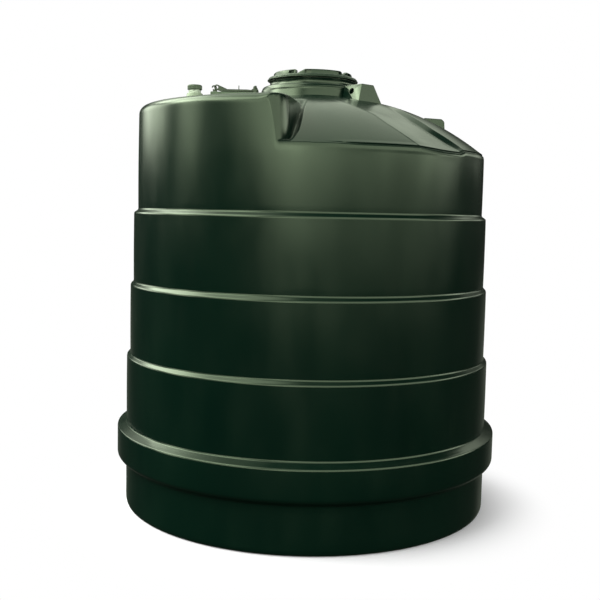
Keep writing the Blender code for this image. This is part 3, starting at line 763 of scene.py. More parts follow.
@dataclass
class TankSkin:
    """The moulded shell: one closed skin from the floor to the roof, with its wall thickness."""

    roof: RoofShape
    skin: float = 0.009
    base_radius: float = 0.988
    collar_radius: float = 1.034
    collar_low: float = 0.262
    collar_middle: float = 0.350
    collar_high: float = 0.428
    collar_top: float = 0.446
    ring_radii: tuple[float, ...] = (0.986, 0.968, 0.952, 0.930)
    ledges: tuple[float, ...] = (0.818, 1.1995, 1.580)
    ledge_fall: float = 0.016
    wall_top: float = 1.860
    rim_height: float = 1.9
    floor_radius: float = 0.60
    band_swell: float = 0.0008
    unevenness: float = 0.00028
    waves: tuple[Span, ...] = (
        (1.0, 3.0, 1.3, 0.4), (0.7, 7.0, -2.1, 0.0), (0.45, 13.0, 4.0, 2.0), (0.3, 23.0, -5.0, 1.0))
    even_below: float = 0.03
    roof_hole: float = 0.279
    hatch_mouth: Span = (-0.418, -0.645, -0.300, -0.515)
    filler: Point = (-0.570, -0.560, 0.022)

    def columns(self) -> list[Column]:
        """Lines of the grid around the tank, finer along the roof's features.

        Returns:
            The columns in order of azimuth, from -180 up to just under 180.
        """
        left, right = self.roof.channel_left, self.roof.channel_right
        lines: list[tuple[Line, int]] = [(steady(azimuth), count) for azimuth, count in (
            (-180.0, 3), (-178.8, 12), (-176.2, 14), (-173.0, 42), (-162.0, 46), (-90.0, 46), (-18.0, 46),
            (-7.0, 14), (-3.8, 12), (-1.2, 3), (0.0, 16))]
        lines += [(beside(left, d), n) for d, n in ((-0.020, 4), (-0.008, 8), (0.008, 4), (0.020, 12))]
        lines += [(beside(right, d), n) for d, n in (
            (-0.062, 8), (-0.034, 8), (-0.006, 5), (0.006, 3), (0.020, 14))]
        lines += [(steady(90.0), 56), (steady(180.0), 0)]
        result = []
        for (line, count), (following, _) in zip(lines, lines[1:]):
            result += [Column(line, following, i / count) for i in range(count)]
        return result

    def roof_radii(self) -> list[float]:
        """Radii of the roof's rows, from its hole out to the rim.

        Returns:
            The radii.
        """
        radii = [self.roof_hole, 0.30, 0.33, 0.36, 0.40, 0.44, 0.47, 0.49, 0.505, 0.518, 0.530, 0.542, 0.555,
                 0.57, 0.59, 0.61, 0.64, 0.67, 0.70, 0.73, 0.76, 0.785, 0.805, 0.82]
        radii += [round(0.832 + 0.0055 * i, 4) for i in range(15)]
        return radii + [self.roof.crisp_start] + [radius for radius, _ in self.roof.crisp_edge]

    def wall_profile(self) -> Profile:
        """Outer side of the wall from just under the rim down to the foot.

        Returns:
            Its corners as (radius, height).
        """
        rows: Profile = []
        tops = [self.roof.lip_height, *reversed(self.ledges), self.collar_top]
        radii = list(reversed(self.ring_radii))
        for k, radius in enumerate(radii):
            foot = tops[k + 1]
            start = tops[k] - self.ledge_fall - 0.009 if k else tops[k]
            first = start if k else self.wall_top
            rows += [(radius + self.swell(z, start, foot), z) for z in even_stops(first, foot + 0.012, 10)]
            if k + 1 < len(radii):
                rows += self.ledge_profile(radius, radii[k + 1], foot)
        return rows + self.foot_profile()

    def swell(self, height: np.ndarray | float, top: float, foot: float) -> np.ndarray:
        """How far a band swells out at a height, with nothing at its top and foot; returns it."""
        share = np.clip((height - foot) / (top - foot), 0.0, 1.0)
        return self.band_swell * 4.0 * share * (1.0 - share)

    def ledge_profile(self, upper: float, lower: float, height: float) -> Profile:
        """Ledge between two bands: a steep face between two narrow slopes that catch the light.

        Args:
            upper: Radius of the band above.
            lower: Radius of the band below.
            height: Height where the band above ends.

        Returns:
            The ledge's corners from the top down.
        """
        lip = height - self.ledge_fall
        corners = [(upper, height + 0.012), (upper, height + 0.0080), (upper + 0.0018, height + 0.0006),
                   (lower - 0.0020, lip + 0.0040), (lower, lip - 0.0034), (lower, lip - 0.009)]
        return rounded(corners, (0.0, 0.0015, 0.0020, 0.0025, 0.0030, 0.0))[1:-1]

    def foot_profile(self) -> Profile:
        """The collar with its sloping top, the drum below it and the foot.

        Returns:
            Their corners as (radius, height), from the top down.
        """
        band, collar, drum = self.ring_radii[0], self.collar_radius, self.base_radius
        low, high, top = self.collar_low, self.collar_high, self.collar_top
        corners = [(band, top + 0.012), (band, top + 0.0080), (band + 0.0028, top),
                   (band + 0.026, top - 0.0100), (collar - 0.0030, high + 0.0010), (collar, high - 0.0070),
                   (collar, self.collar_middle), (collar, low + 0.016), (collar - 0.016, low - 0.002),
                   (drum, low - 0.016), (drum, 0.200), (drum, 0.090), (drum, 0.024), (drum - 0.006, 0.007),
                   (drum - 0.022, 0.0)]
        bends = (0, 0.0015, 0.002, 0.003, 0.002, 0.003, 0, 0.012, 0.016, 0.012, 0, 0, 0.010, 0.008, 0.004)
        return rounded(corners, bends)[1:]

    def inner_profile(self) -> Profile:
        """Inner side of the wall from the floor up to just under the roof.

        Returns:
            Its corners as (radius, height).
        """
        t = self.skin
        drum, collar = self.base_radius - t, self.collar_radius - t
        rows = [(self.floor_radius, t), (self.base_radius - 0.024, t), (drum, t + 0.012),
                (drum, self.collar_low - 0.014), (collar - 0.002, self.collar_low + 0.018),
                (collar, self.collar_middle), (collar, self.collar_high - 0.016),
                (self.ring_radii[0] - t, self.collar_top - 0.010)]
        for k, height in enumerate(self.ledges):
            radius, upper = self.ring_radii[k] - t, self.ring_radii[k + 1] - t
            rows += [(radius, height - 0.16), (radius, height - self.ledge_fall - t), (upper, height - t)]
        return rows + [(self.ring_radii[-1] - t, 1.70), (self.ring_radii[-1] - t, self.wall_top - 0.01)]

    def ripple(self, azimuth: np.ndarray, height: float) -> np.ndarray:
        """Slight unevenness of the moulded wall.

        Args:
            azimuth: Azimuths in degrees.
            height: Height above the ground.

        Returns:
            Change of radius.
        """
        a = np.radians(azimuth)
        return self.unevenness * sum(share * np.sin(count * a + slant * height + start)
                                     for share, count, slant, start in self.waves)

    @staticmethod
    def row(azimuth: np.ndarray, radius: np.ndarray | float, height: np.ndarray | float) -> list[Point]:
        """Points of one row of the grid.

        Args:
            azimuth: Azimuths in degrees.
            radius: Radii, or one for all.
            height: Heights, or one for all.

        Returns:
            The points.
        """
        angle = np.radians(azimuth)
        heights = np.broadcast_to(height, angle.shape)
        return list(zip(radius * np.sin(angle), -radius * np.cos(angle), heights))

    def build(self) -> Object:
        """Build the skin with its openings.

        Returns:
            The object.
        """
        columns = self.columns()
        radii = np.array(self.roof_radii())
        azimuths = np.array([c.azimuth(radii) for c in columns])
        heights = self.roof.height(azimuths, radii)
        rows = []
        for j, radius in enumerate(radii):
            azimuth, z = azimuths[:, j], heights[:, j]
            rows.append(self.row(azimuth, self.roof.settled_radius(radius, z, azimuth), z))
        rim, rim_z = azimuths[:, -1], heights[:, -1]
        for share in (0.05, 0.15, 0.3, 0.45, 0.6, 0.75, 0.88):
            z = rim_z + (self.wall_top - rim_z) * share
            r = self.roof.settled_radius(self.roof.radius, z, rim)
            r = r + self.ripple(rim, self.rim_height) * smooth_step(0.0, 1.0, share)
            rows.append(self.row(rim, r + self.swell(z, self.roof.lip_height, self.ledges[-1]), z))
        for radius, height in self.wall_profile():
            change = self.ripple(rim, height) if height > self.even_below else 0.0
            rows.append(self.row(rim, radius + change, height))
        rows += [self.row(rim, self.floor_radius, 0.0), [(0.0, 0.0, 0.0)], [(0.0, 0.0, self.skin)]]
        rows += [self.row(rim, radius, height) for radius, height in self.inner_profile()]
        inner = np.array([self.roof.radius - self.skin, 0.905, 0.89, 0.87, 0.84, 0.80, 0.74, 0.68, 0.62, 0.56,
                          0.53, 0.50, 0.46, 0.40, 0.34, self.roof_hole])
        azimuths = np.array([c.azimuth(inner) for c in columns])
        heights = self.roof.height(azimuths, inner, self.skin)
        rows += [self.row(azimuths[:, j], radius, heights[:, j]) for j, radius in enumerate(inner)]
        draft = MeshDraft()
        draft.add_rows(rows, ring=True)
        return self.open_roof(draft.finish("tank_skin", WIDE))

    def open_roof(self, piece: Object) -> Object:
        """Cut the hatch's mouth and the filler's bore through the platform.

        Args:
            piece: The skin.

        Returns:
            The same object.
        """
        x0, y0, x1, y1 = self.hatch_mouth
        x, y, radius = self.filler
        low, high = self.roof.platform - 3 * PAST, self.roof.platform + 2 * PAST
        mouth = box_prism("mouth_cutter", (x0, y0, low), (x1, y1, high))
        return carved(piece, [mouth, bar("bore_cutter", (x, y, low), (x, y, high), radius)])

    def dress(self) -> None:
        """Build the skin, finish it and tie it to the tank."""
        names = sorted(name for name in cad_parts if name.startswith(SKIN_NODES))
        dress_piece(self.build(), GREEN_SHELL.build(), Body.TANK, Slot.SHELL, *names)


@dataclass
class Manhole:
    """The raised ring on the dome, the neck and the screw lid with its grip crown."""

    ring_radius: float = 0.286
    ring_top: float = 2.252
    ring_foot: float = 2.176
    neck_radius: float = 0.232
    neck_top: float = 2.2860
    wall: float = 0.009
    thread_turns: int = 3
    lid_radius: float = 0.245
    plate_top: float = 2.305
    dish_depth: float = 0.0035
    dish_edge: Pair = (0.176, 0.182)
    hub_edge: Pair = (0.055, 0.060)
    crown_radius: float = 0.214
    crown_inner: float = 0.186
    crown_top: float = 2.330
    blocks: int = 5
    block_span: float = 68.0
    block_draft: float = 0.15
    block_slots: tuple[Point, ...] = ((10.5, 19.5, 0.016), (57.0, 66.0, 0.012))
    first_gap: float = -23.5
    ribs: int = 10
    first_rib: float = 12.0
    rib_half: float = 0.003
    rib_reach: Pair = (0.050, 0.180)
    rib_height: float = 0.0052

    def build_ring(self) -> Object:
        """The moulded ring: upright side, rounded shoulder and flat top.

        Returns:
            The object.
        """
        outer, neck, t = self.ring_radius, self.neck_radius, self.wall
        top, foot = self.ring_top, self.ring_foot
        profile = [(outer + 0.010, foot - 0.006), (outer, foot + 0.006), (outer - 0.016, top),
                   (neck + 0.004, top), (neck, top + 0.003), (neck - t, top + 0.003), (neck - t, top - t),
                   (outer - t, top - t - 0.006), (outer - t, foot - 0.006)]
        profile = rounded(profile, (0.0, 0.008, 0.016, 0.004, 0.0, 0.0, 0.0, 0.010, 0.0), 6)
        return turned("manhole_ring_moulding", profile, 128, sharp=WIDE)

    def build_neck(self) -> Object:
        """The neck with a bead at its foot and screw turns inside.

        Returns:
            The object.
        """
        r, top, foot = self.neck_radius, self.neck_top, self.ring_top + SEAT
        inner = r - self.wall
        profile = [(r, foot), (r, foot + 0.004), (r - 0.0015, foot + 0.006), (r - 0.0015, top - 0.009),
                   (r, top - 0.007), (r, top), (inner, top)]
        for k in range(self.thread_turns):
            z = top - 0.006 - 0.009 * k
            ridge = inner - 0.0028
            profile += [(inner, z), (ridge, z - 0.002), (ridge, z - 0.004), (inner, z - 0.006)]
        return turned("manhole_neck_thread", profile + [(inner, foot)], 128)

    def build_lid(self) -> Object:
        """The lid's plate, its beaded rim, the dish with its ribs, and the crown.

        Returns:
            The object.
        """
        seat, top, r = self.neck_top + SEAT, self.plate_top, self.lid_radius
        under, dish = self.neck_radius - self.wall - 0.006, self.plate_top - self.dish_depth
        profile = [(0.0, top - 0.008), (under, top - 0.008), (under, seat), (r - 0.004, seat),
                   (r, seat + 0.002), (r, seat + 0.005), (r - 0.005, seat + 0.0065), (r - 0.004, top - 0.007),
                   (r - 0.010, top - 0.001), (r - 0.016, top), (self.dish_edge[1], top),
                   (self.dish_edge[0], dish), (self.hub_edge[1], dish), (self.hub_edge[0], top - 0.001),
                   (0.020, top - 0.001), (0.0, top - 0.001)]
        bends = (0, 0, 0, 0.002, 0.0018, 0.0018, 0.001, 0.004, 0.004, 0.003, 0.003, 0.003, 0.002, 0.002, 0, 0)
        plate = turned("lid_with_grip_crown", rounded(profile, bends, 3), 120, sharp=35.0)
        pitch = 360.0 / self.blocks
        helpers = []
        for k in range(self.blocks):
            helpers.append(self.build_block(self.first_gap + pitch * k + (pitch - self.block_span) / 2))
        for k in range(self.ribs):
            helpers.append(self.build_rib(k * (360.0 / self.ribs) + self.first_rib))
        return carved(plate, (), helpers)

    def build_block(self, start: float) -> Object:
        """One grip block of the crown, ramped at one end, with two slots.

        Args:
            start: Azimuth where it starts.

        Returns:
            The helper object.
        """
        foot, outer, inner = self.plate_top - 0.002, self.crown_radius, self.crown_inner
        rise = self.crown_top - foot
        heights = ((0.0, 0.010), (2.0, 0.014), (9.5, rise - 0.001), (10.5, rise), (66.0, rise),
                   (68.0, rise - 0.004))
        rows = []
        for offset in sorted(set(even_stops(0.0, self.block_span, 26) + [h[0] for h in heights])):
            z = foot + float(read_stops(offset, heights))
            drawn_in = outer - self.block_draft * (z - 0.004 - foot)
            section = [(outer, foot), (drawn_in, z - 0.004), (outer - 0.009, z), (inner + 0.004, z),
                       (inner, z - 0.004), (inner, foot)]
            section = rounded(section, (0.0, 0.003, 0.003, 0.002, 0.002, 0.0), 2)
            rows.append([(*plan_point(start + offset, r), h) for r, h in section])
        draft = MeshDraft()
        draft.add_rows(rows)
        count = len(rows[0])
        draft.faces += [tuple(range(count)), tuple(range(len(draft.points) - count, len(draft.points)))]
        slots = [self.slot_cutter(start + low, start + high, depth) for low, high, depth in self.block_slots]
        return carved(draft.finish("crown_block"), slots)

    def slot_cutter(self, low: float, high: float, depth: float) -> Object:
        """Helper that opens a slot in a block's outer face.

        Args:
            low: First azimuth.
            high: Last azimuth.
            depth: How deep it goes in.

        Returns:
            The helper object.
        """
        near, far = self.crown_radius - depth, self.crown_radius + 0.02
        z0, z1 = self.plate_top + 0.004, self.crown_top - 0.0045
        stops = even_stops(low, high, 4)
        outline = [(*plan_point(a, near), z0) for a in stops]
        outline += [(*plan_point(a, far), z0) for a in reversed(stops)]
        return prism("slot_cutter", outline, (0.0, 0.0, z1 - z0))

    def build_rib(self, azimuth: float) -> Object:
        """Low radial rib in the lid's dish.

        Args:
            azimuth: The way it points.

        Returns:
            The helper object.
        """
        out = Vector((*plan_point(azimuth, 1.0), 0.0))
        side = Vector((-out.y, out.x, 0.0)) * self.rib_half
        near, far = (out * reach for reach in self.rib_reach)
        foot = self.plate_top - 0.006
        corners = [(p.x, p.y, foot) for p in (near - side, far - side, far + side, near + side)]
        return prism("rib", corners, (0.0, 0.0, self.rib_height))

    def dress(self) -> None:
        """Build the three pieces, finish them and tie them to their bodies."""
        shell = GREEN_SHELL.build()
        dress_piece(self.build_ring(), shell, Body.TANK, Slot.SHELL, "manhole_ring")
        dress_piece(self.build_neck(), shell, Body.TANK, Slot.SHELL, "manhole_neck")
        dress_piece(self.build_lid(), DARK_LID.build(), Body.MANHOLE_LID, Slot.LID, "manhole_lid")


@dataclass
class LiftingLugs:
    """The two lifting lugs beside the manhole ring and the small lug on the dome's right."""

    azimuths: Pair = (42.0, -138.0)
    inner: float = 0.2825
    outer: float = 0.412
    width: float = 0.105
    flare: float = 0.046
    lean: float = 0.014
    draft: float = 0.020
    top: float = 2.243
    foot: float = 2.120
    flare_height: float = 0.09
    eye_radius: float = 0.016
    eye_reach: float = 0.345
    eye_height: float = 2.210
    eye_cut: float = 0.2
    edge_centre: Pair = (0.672, 0.100)
    edge_size: Pair = (0.110, 0.100)
    edge_foot: float = 1.985
    edge_top: float = 2.116

    def build_lug(self, name: str, azimuth: float) -> Object:
        """A lug with soft edges and the eye through it.

        Args:
            name: Its name.
            azimuth: The way it faces.

        Returns:
            The object.
        """
        out = Vector((*plan_point(azimuth, 1.0), 0.0))
        along = Vector((-out.y, out.x, 0.0))
        draft = MeshDraft()
        for height in (self.top, self.foot):
            part = (self.top - height) / self.flare_height
            left, right = -self.width / 2 + self.draft * (1.0 - part), self.width / 2 + self.flare * part
            corners = ((left, self.inner), (left, self.outer), (right, self.outer + self.lean * part),
                       (right, self.inner))
            draft.add_points([(*(out * reach + along * side).xy, height) for side, reach in corners])
        draft.faces += [(0, 1, 2, 3), (4, 5, 6, 7)]
        draft.faces += [(k, (k + 1) % 4, 4 + (k + 1) % 4, 4 + k) for k in range(4)]
        lug = softened(draft.finish(name), 0.0035)
        centre = out * self.eye_reach + Vector((0.0, 0.0, self.eye_height))
        reach = along * self.eye_cut
        eye = bar("eye_cutter", centre - reach, centre + reach, self.eye_radius, 32)
        return even_shading(carved(lug, [eye]))

    def build_edge_lug(self) -> Object:
        """The small lug on the dome's right side.

        Returns:
            The object.
        """
        x, y = self.edge_centre
        hx, hy = self.edge_size[0] / 2, self.edge_size[1] / 2
        top, foot = self.edge_top, self.edge_foot
        outline = [(x - hx, foot), (x + hx + 0.010, foot), (x + hx + 0.0030, top - 0.020),
                   (x + hx - 0.012, top - 0.005), (x - hx, top)]
        lug = prism("edge_lug_moulding", [(px, y - hy, pz) for px, pz in outline], (0.0, 2 * hy, 0.0))
        return even_shading(softened(lug, 0.005, 3, 20.0))

    def dress(self) -> None:
        """Build the lugs, finish them and tie them to the tank."""
        shell = GREEN_SHELL.build()
        for side, azimuth in zip(("front", "rear"), self.azimuths):
            lug = self.build_lug(f"lug_moulding_{side}", azimuth)
            dress_piece(lug, shell, Body.TANK, Slot.SHELL, f"lifting_lug_{side}")
        dress_piece(self.build_edge_lug(), shell, Body.TANK, Slot.SHELL, "edge_lug")


@dataclass
class Filler:
    """The filler on the platform: boss, threaded spigot and ribbed cap."""

    centre: Pair = (-0.570, -0.560)
    platform: float = 2.120
    boss_radius: float = 0.040
    boss_top: float = 2.147
    spigot_radius: float = 0.0303
    bore: float = 0.022
    spigot_top: float = 2.1635
    thread_turns: int = 3
    cap_radius: float = 0.0355
    cap_top: float = 2.187
    ribs: int = 28
    groove_depth: float = 0.0017

    def build_boss(self) -> Object:
        """Low moulded boss that flares into the platform.

        Returns:
            The object.
        """
        foot, top, r = self.platform - 0.002, self.boss_top, self.boss_radius
        profile = [(self.bore, foot), (r + 0.006, foot), (r + 0.001, foot + 0.006), (r - 0.002, top),
                   (self.bore, top)]
        profile = rounded(profile, (0.0, 0.0, 0.006, 0.004, 0.001))
        return turned("filler_boss_moulding", profile, 64, self.centre)

    def build_spigot(self) -> Object:
        """Spigot with screw turns.

        Returns:
            The object.
        """
        foot, top, r = self.boss_top + SEAT, self.spigot_top, self.spigot_radius
        profile = [(self.bore, foot), (r - 0.0012, foot)]
        for k in range(self.thread_turns):
            z = foot + 0.0018 + k * 0.0048
            profile += [(r - 0.0022, z), (r, z + 0.0012), (r, z + 0.0024), (r - 0.0022, z + 0.0036)]
        profile += [(r - 0.0016, top - 0.0004), (self.bore, top)]
        return turned("filler_spigot_thread", profile, 56, self.centre)

    def build_cap(self) -> Object:
        """Cap with gripping ribs around its side and a dished top.

        Returns:
            The object.
        """
        seat, top, r = self.spigot_top + SEAT, self.cap_top, self.cap_radius
        inside, under = self.bore - 0.001, self.spigot_top + 0.014
        profile = [(0.0, under), (inside, under), (inside, seat), (r - 0.001, seat), (r, seat + 0.002),
                   (r, top - 0.006), (r - 0.003, top - 0.001), (r - 0.006, top), (r - 0.010, top),
                   (r - 0.012, top - 0.0015), (0.008, top - 0.0015), (0.0, top - 0.0012)]

        def grip(radius: float, azimuth: float, height: float) -> float:
            """Depth of the grooves between the ribs.

            Args:
                radius: Radius of the plain cap.
                azimuth: Azimuth about its axis.
                height: The height.

            Returns:
                Change of radius.
            """
            if radius <= r - 0.0045:
                return 0.0
            share = smooth_step(seat - 0.001, seat + 0.003, height)
            share = float(share * (1 - smooth_step(top - 0.0055, top - 0.0005, height)))
            groove = (0.5 - 0.5 * math.cos(math.radians(azimuth) * self.ribs)) ** 0.7
            return -self.groove_depth * share * groove

        profile = rounded(profile, (0, 0, 0, 0.001, 0.002, 0.002, 0.002, 0.001, 0.001, 0.001, 0, 0), 3)
        return turned("ribbed_filler_cap", profile, self.ribs * 6, self.centre, WIDE, grip)

    def dress(self) -> None:
        """Build the pieces, finish them and tie them to their bodies."""
        # The boss gets painted sheen: a pale colour in place of the green plastic's grazing reflection.
        dress_piece(self.build_boss(), PAINTED_SHEEN_MOULDING.build(), Body.TANK, Slot.SHELL, "filler_boss")
        # The spigot gets painted sheen: a near-white colour in place of the green plastic's grazing
        # reflection.
        dress_piece(self.build_spigot(), PAINTED_SHEEN_SPIGOT.build(), Body.TANK, Slot.SHELL, "filler_spigot")
        dress_piece(self.build_cap(), GREY_CAP.build(), Body.FILLER_CAP, Slot.LID, "filler_cap")


@dataclass
class Hatch:
    """The inspection hatch: plinth, hinged lid with its padlock eyes, hinge and stud."""

    x_span: Pair = (-0.482, -0.264)
    y_span: Pair = (-0.680, -0.480)
    platform: float = 2.120
    frame_top: float = 2.144
    mouth_x: Pair = (-0.418, -0.300)
    mouth_y: Pair = (-0.645, -0.515)
    lid_x: Pair = (-0.431, -0.284)
    lid_inset: float = 0.008
    lid_top: float = 2.157
    hinge: Pair = (-0.270, 2.166)
    barrel_radius: float = 0.008
    barrel_y: Pair = (-0.640, -0.520)
    pin_radius: float = 0.0035
    ear_hole: float = 0.0040
    ear_thick: float = 0.012
    ear_space: float = 0.0010
    eye_outer: float = 0.013
    eye_hole: float = 0.007
    eye_plate: float = 0.006
    eye_space: float = 0.006
    fixed_eye: Pair = (-0.4744, 2.1735)
    lid_eye: Pair = (-0.4606, 2.1755)
    stud_x: float = -0.355
    stud_radius: float = 0.003
    stud_top: float = 2.187

    @property
    def middle(self) -> float:
        """Middle of the hatch along Y."""
        return sum(self.y_span) / 2

    def build_plinth(self) -> Object:
        """Plinth with soft edges and the mouth through it.

        Returns:
            The object.
        """
        (x0, x1), (y0, y1) = self.x_span, self.y_span
        low, high = self.platform - 0.002, self.frame_top
        plinth = softened(box_prism("hatch_plinth", (x0, y0, low), (x1, y1, high)), 0.004)
        (x0, x1), (y0, y1) = self.mouth_x, self.mouth_y
        mouth = box_prism("mouth_cutter", (x0, y0, low - PAST), (x1, y1, high + PAST))
        return even_shading(carved(plinth, [mouth]))

    @staticmethod
    def arc(centre: Pair, radius: float, start: float, end: float, steps: int) -> Profile:
        """Points on an arc in the x and z plane, between two angles in degrees."""
        angles = [math.radians(a) for a in even_stops(start, end, steps)]
        return [(centre[0] + radius * math.cos(a), centre[1] + radius * math.sin(a)) for a in angles]

    @staticmethod
    def slice_prism(name: str, outline: Profile, y_span: Pair) -> Object:
        """Solid of an (x, z) outline between two y values; returns the object."""
        return prism(name, [(x, y_span[0], z) for x, z in outline], (0.0, y_span[1] - y_span[0], 0.0))

    @staticmethod
    def drill(centre: Pair, y_span: Pair, radius: float, steps: int) -> Object:
        """Helper for a hole along Y through what lies between two y values; returns it."""
        (x, z), (y0, y1) = centre, y_span
        return bar("drill", (x, y0 - PAST, z), (x, y1 + PAST, z), radius, steps)

    def build_ears(self) -> dict[str, Object]:
        """The two hinge ears, wedge-shaped, with soft edges.

        Returns:
            The objects by side.
        """
        (x, z), (y0, y1), foot = self.hinge, self.barrel_y, self.frame_top + SEAT
        outline = [(x - 0.011, foot), (self.x_span[1], foot), (x + 0.005, z + 0.011), (x - 0.003, z + 0.012),
                   (x - 0.011, z + 0.007)]
        near, thick = self.ear_space, self.ear_thick
        spans = {"front": (y0 - near - thick, y0 - near), "rear": (y1 + near, y1 + near + thick)}
        ears = {}
        for side, span in spans.items():
            ear = softened(self.slice_prism(f"hinge_cheek_{side}", outline, span), 0.0012, 2, 20.0)
            ears[side] = even_shading(carved(ear, [self.drill(self.hinge, span, self.ear_hole, 24)]))
        return ears

    def build_pin(self) -> Object:
        """Hinge pin with rounded ends.

        Returns:
            The object.
        """
        (x, z), (y0, y1) = self.hinge, self.barrel_y
        start = (x, y0 - self.ear_space - self.ear_thick + 0.001, z)
        end = (x, y1 + self.ear_space + self.ear_thick - 0.001, z)
        return softened(bar("hinge_pin_rod", start, end, self.pin_radius), 0.0008, 2)

    def build_lid(self) -> Object:
        """Low lid with soft edges, its barrel, tongue and padlock eye.

        Returns:
            The object.
        """
        (x0, x1), under, top = self.lid_x, self.frame_top + SEAT, self.lid_top
        lid_y = (self.y_span[0] + self.lid_inset, self.y_span[1] - self.lid_inset)
        outline = [(x0, under), (x1, under), (x1, top - 0.002), (x1 - 0.025, top), (x0 + 0.030, top),
                   (x0, top - 0.005)]
        lid = softened(self.slice_prism("hinged_lid", outline, lid_y), 0.003, 3, 25.0)
        arm = [(x1 - 0.012, under + 0.001), (x1 + 0.003, under + 0.001),
               *self.arc(self.hinge, self.barrel_radius, -110.0, 150.0, 18), (x1 - 0.012, top - 0.001)]
        barrel = self.slice_prism("barrel", arm, self.barrel_y)
        bore = self.drill(self.hinge, self.barrel_y, self.pin_radius + SEAT, 24)
        plate_y = (self.middle - self.eye_space / 2 - self.eye_plate, self.middle - self.eye_space / 2)
        outline = [(x0 + 0.020, under + 0.003), (x0 + 0.048, top - 0.001),
                   *self.arc(self.lid_eye, self.eye_outer, 62.0, 250.0, 16)]
        tongue = softened(self.slice_prism("tongue", outline, plate_y), 0.0010, 2)
        eye = self.drill(self.lid_eye, plate_y, self.eye_hole, 32)
        return even_shading(carved(lid, [bore, eye], [barrel, tongue]))

    def build_stud(self) -> Object:
        """Small upright stud with a domed head.

        Returns:
            The object.
        """
        foot, top, r = self.lid_top + SEAT, self.stud_top, self.stud_radius
        profile = [(0.0, foot - 0.001), (r, foot - 0.001), (r, foot + 0.003), (r - 0.0008, foot + 0.004),
                   (r - 0.0008, top - 0.003), (r - 0.0012, top - 0.001), (0.0, top)]
        return turned("hatch_stud_rod", profile, 20, (self.stud_x, self.middle))

    def build_fixed_eye(self) -> Object:
        """Padlock eye that stands on the plinth.

        Returns:
            The object.
        """
        (x, z), left, foot = self.fixed_eye, self.x_span[0] + 0.001, self.frame_top + SEAT
        plate_y = (self.middle + self.eye_space / 2, self.middle + self.eye_space / 2 + self.eye_plate)
        outline = [(left, foot), (x + self.eye_outer + 0.002, foot),
                   *self.arc(self.fixed_eye, self.eye_outer, 0.0, 180.0, 16)[:-1], (left, z)]
        eye = softened(self.slice_prism("fixed_eye_plate", outline, plate_y), 0.0010, 2)
        return even_shading(carved(eye, [self.drill(self.fixed_eye, plate_y, self.eye_hole, 32)]))

    def dress(self) -> None:
        """Build the pieces, finish them and tie them to their bodies."""
        black = BLACK_HATCH.build()
        # The plinth's paler green is a painted highlight on the shell's green plastic.
        dress_piece(self.build_plinth(), PAINTED_HIGHLIGHT_PLINTH.build(), Body.TANK, Slot.SHELL, "hatch_frame")
        for side, ear in self.build_ears().items():
            dress_piece(ear, black, Body.TANK, Slot.HATCH, f"hinge_ear_{side}")
        dress_piece(self.build_pin(), black, Body.HATCH_LID, Slot.HATCH, "hinge_pin")
        dress_piece(self.build_lid(), black, Body.HATCH_LID, Slot.HATCH, "hatch_lid")
        dress_piece(self.build_stud(), black, Body.HATCH_LID, Slot.HATCH, "hatch_stud")
        dress_piece(self.build_fixed_eye(), black, Body.TANK, Slot.HATCH, "padlock_eye")


@dataclass(frozen=True)
class Glow:
    """A soft light of the room: where it lies around and above the tank, in degrees, and how strong."""

    name: str
    level: float
    around: Span
    height: Span
    falloff: float = 1.0
    slant: float = 0.0


GLOWS = (
    Glow("sky behind on the left", 1.25, (-400.0, -399.0, -140.0, -112.0), (14.0, 32.0, 70.0, 82.0)),
    Glow("sky behind on the right", 1.25, (128.0, 152.0, 399.0, 400.0), (14.0, 32.0, 70.0, 82.0)),
    Glow("zenith", 0.20, (-400.0, -399.0, 399.0, 400.0), (62.0, 84.0, 100.0, 110.0)),
    Glow("large window on the left", 8.0, (-150.0, -130.0, -50.0, -22.0), (22.0, 28.0, 46.0, 56.0)),
    Glow("ceiling on the left", 3.2, (-150.0, -130.0, -50.0, -22.0), (46.0, 58.0, 74.0, 90.0)),
    Glow("left lamp", 8.0, (-114.0, -104.0, -92.0, -82.0), (12.0, 22.0, 32.0, 44.0)),
    Glow("front window", 2.7, (-30.0, -12.0, 72.0, 100.0), (0.9, 4.6, 36.0, 48.0)),
    Glow("front window's bright side", 4.4, (-40.0, -24.0, -6.0, 22.0), (0.4, 5.6, 14.0, 30.0), 1.0, 2.6),
    Glow("ground in front", 0.85, (-24.0, -10.0, 76.0, 96.0), (-3.8, -2.4, -1.2, -0.2)),
    Glow("right window", 3.8, (68.0, 86.0, 105.0, 118.0), (2.0, 5.0, 10.0, 20.0), 1.0, -1.5),
    Glow("far right slit", 1.2, (116.0, 124.0, 140.0, 152.0), (2.8, 5.4, 9.0, 18.0), 1.5),
    Glow("left slit", 4.6, (-99.0, -88.0, -82.0, -70.0), (1.5, 8.0, 14.0, 24.0), 1.4),
    Glow("left wall", 0.35, (-80.0, -68.0, -44.0, -34.0), (3.0, 8.0, 14.0, 24.0)),
    Glow("far left slit", 5.0, (-148.0, -134.0, -114.0, -101.0), (2.4, 7.5, 14.0, 24.0), 1.9),
    Glow("rear on the left", 0.12, (-400.0, -399.0, -168.0, -140.0), (-48.0, -40.0, -8.0, -2.0)),
    Glow("rear on the right", 0.12, (132.0, 160.0, 399.0, 400.0), (-48.0, -40.0, -8.0, -2.0)),
)


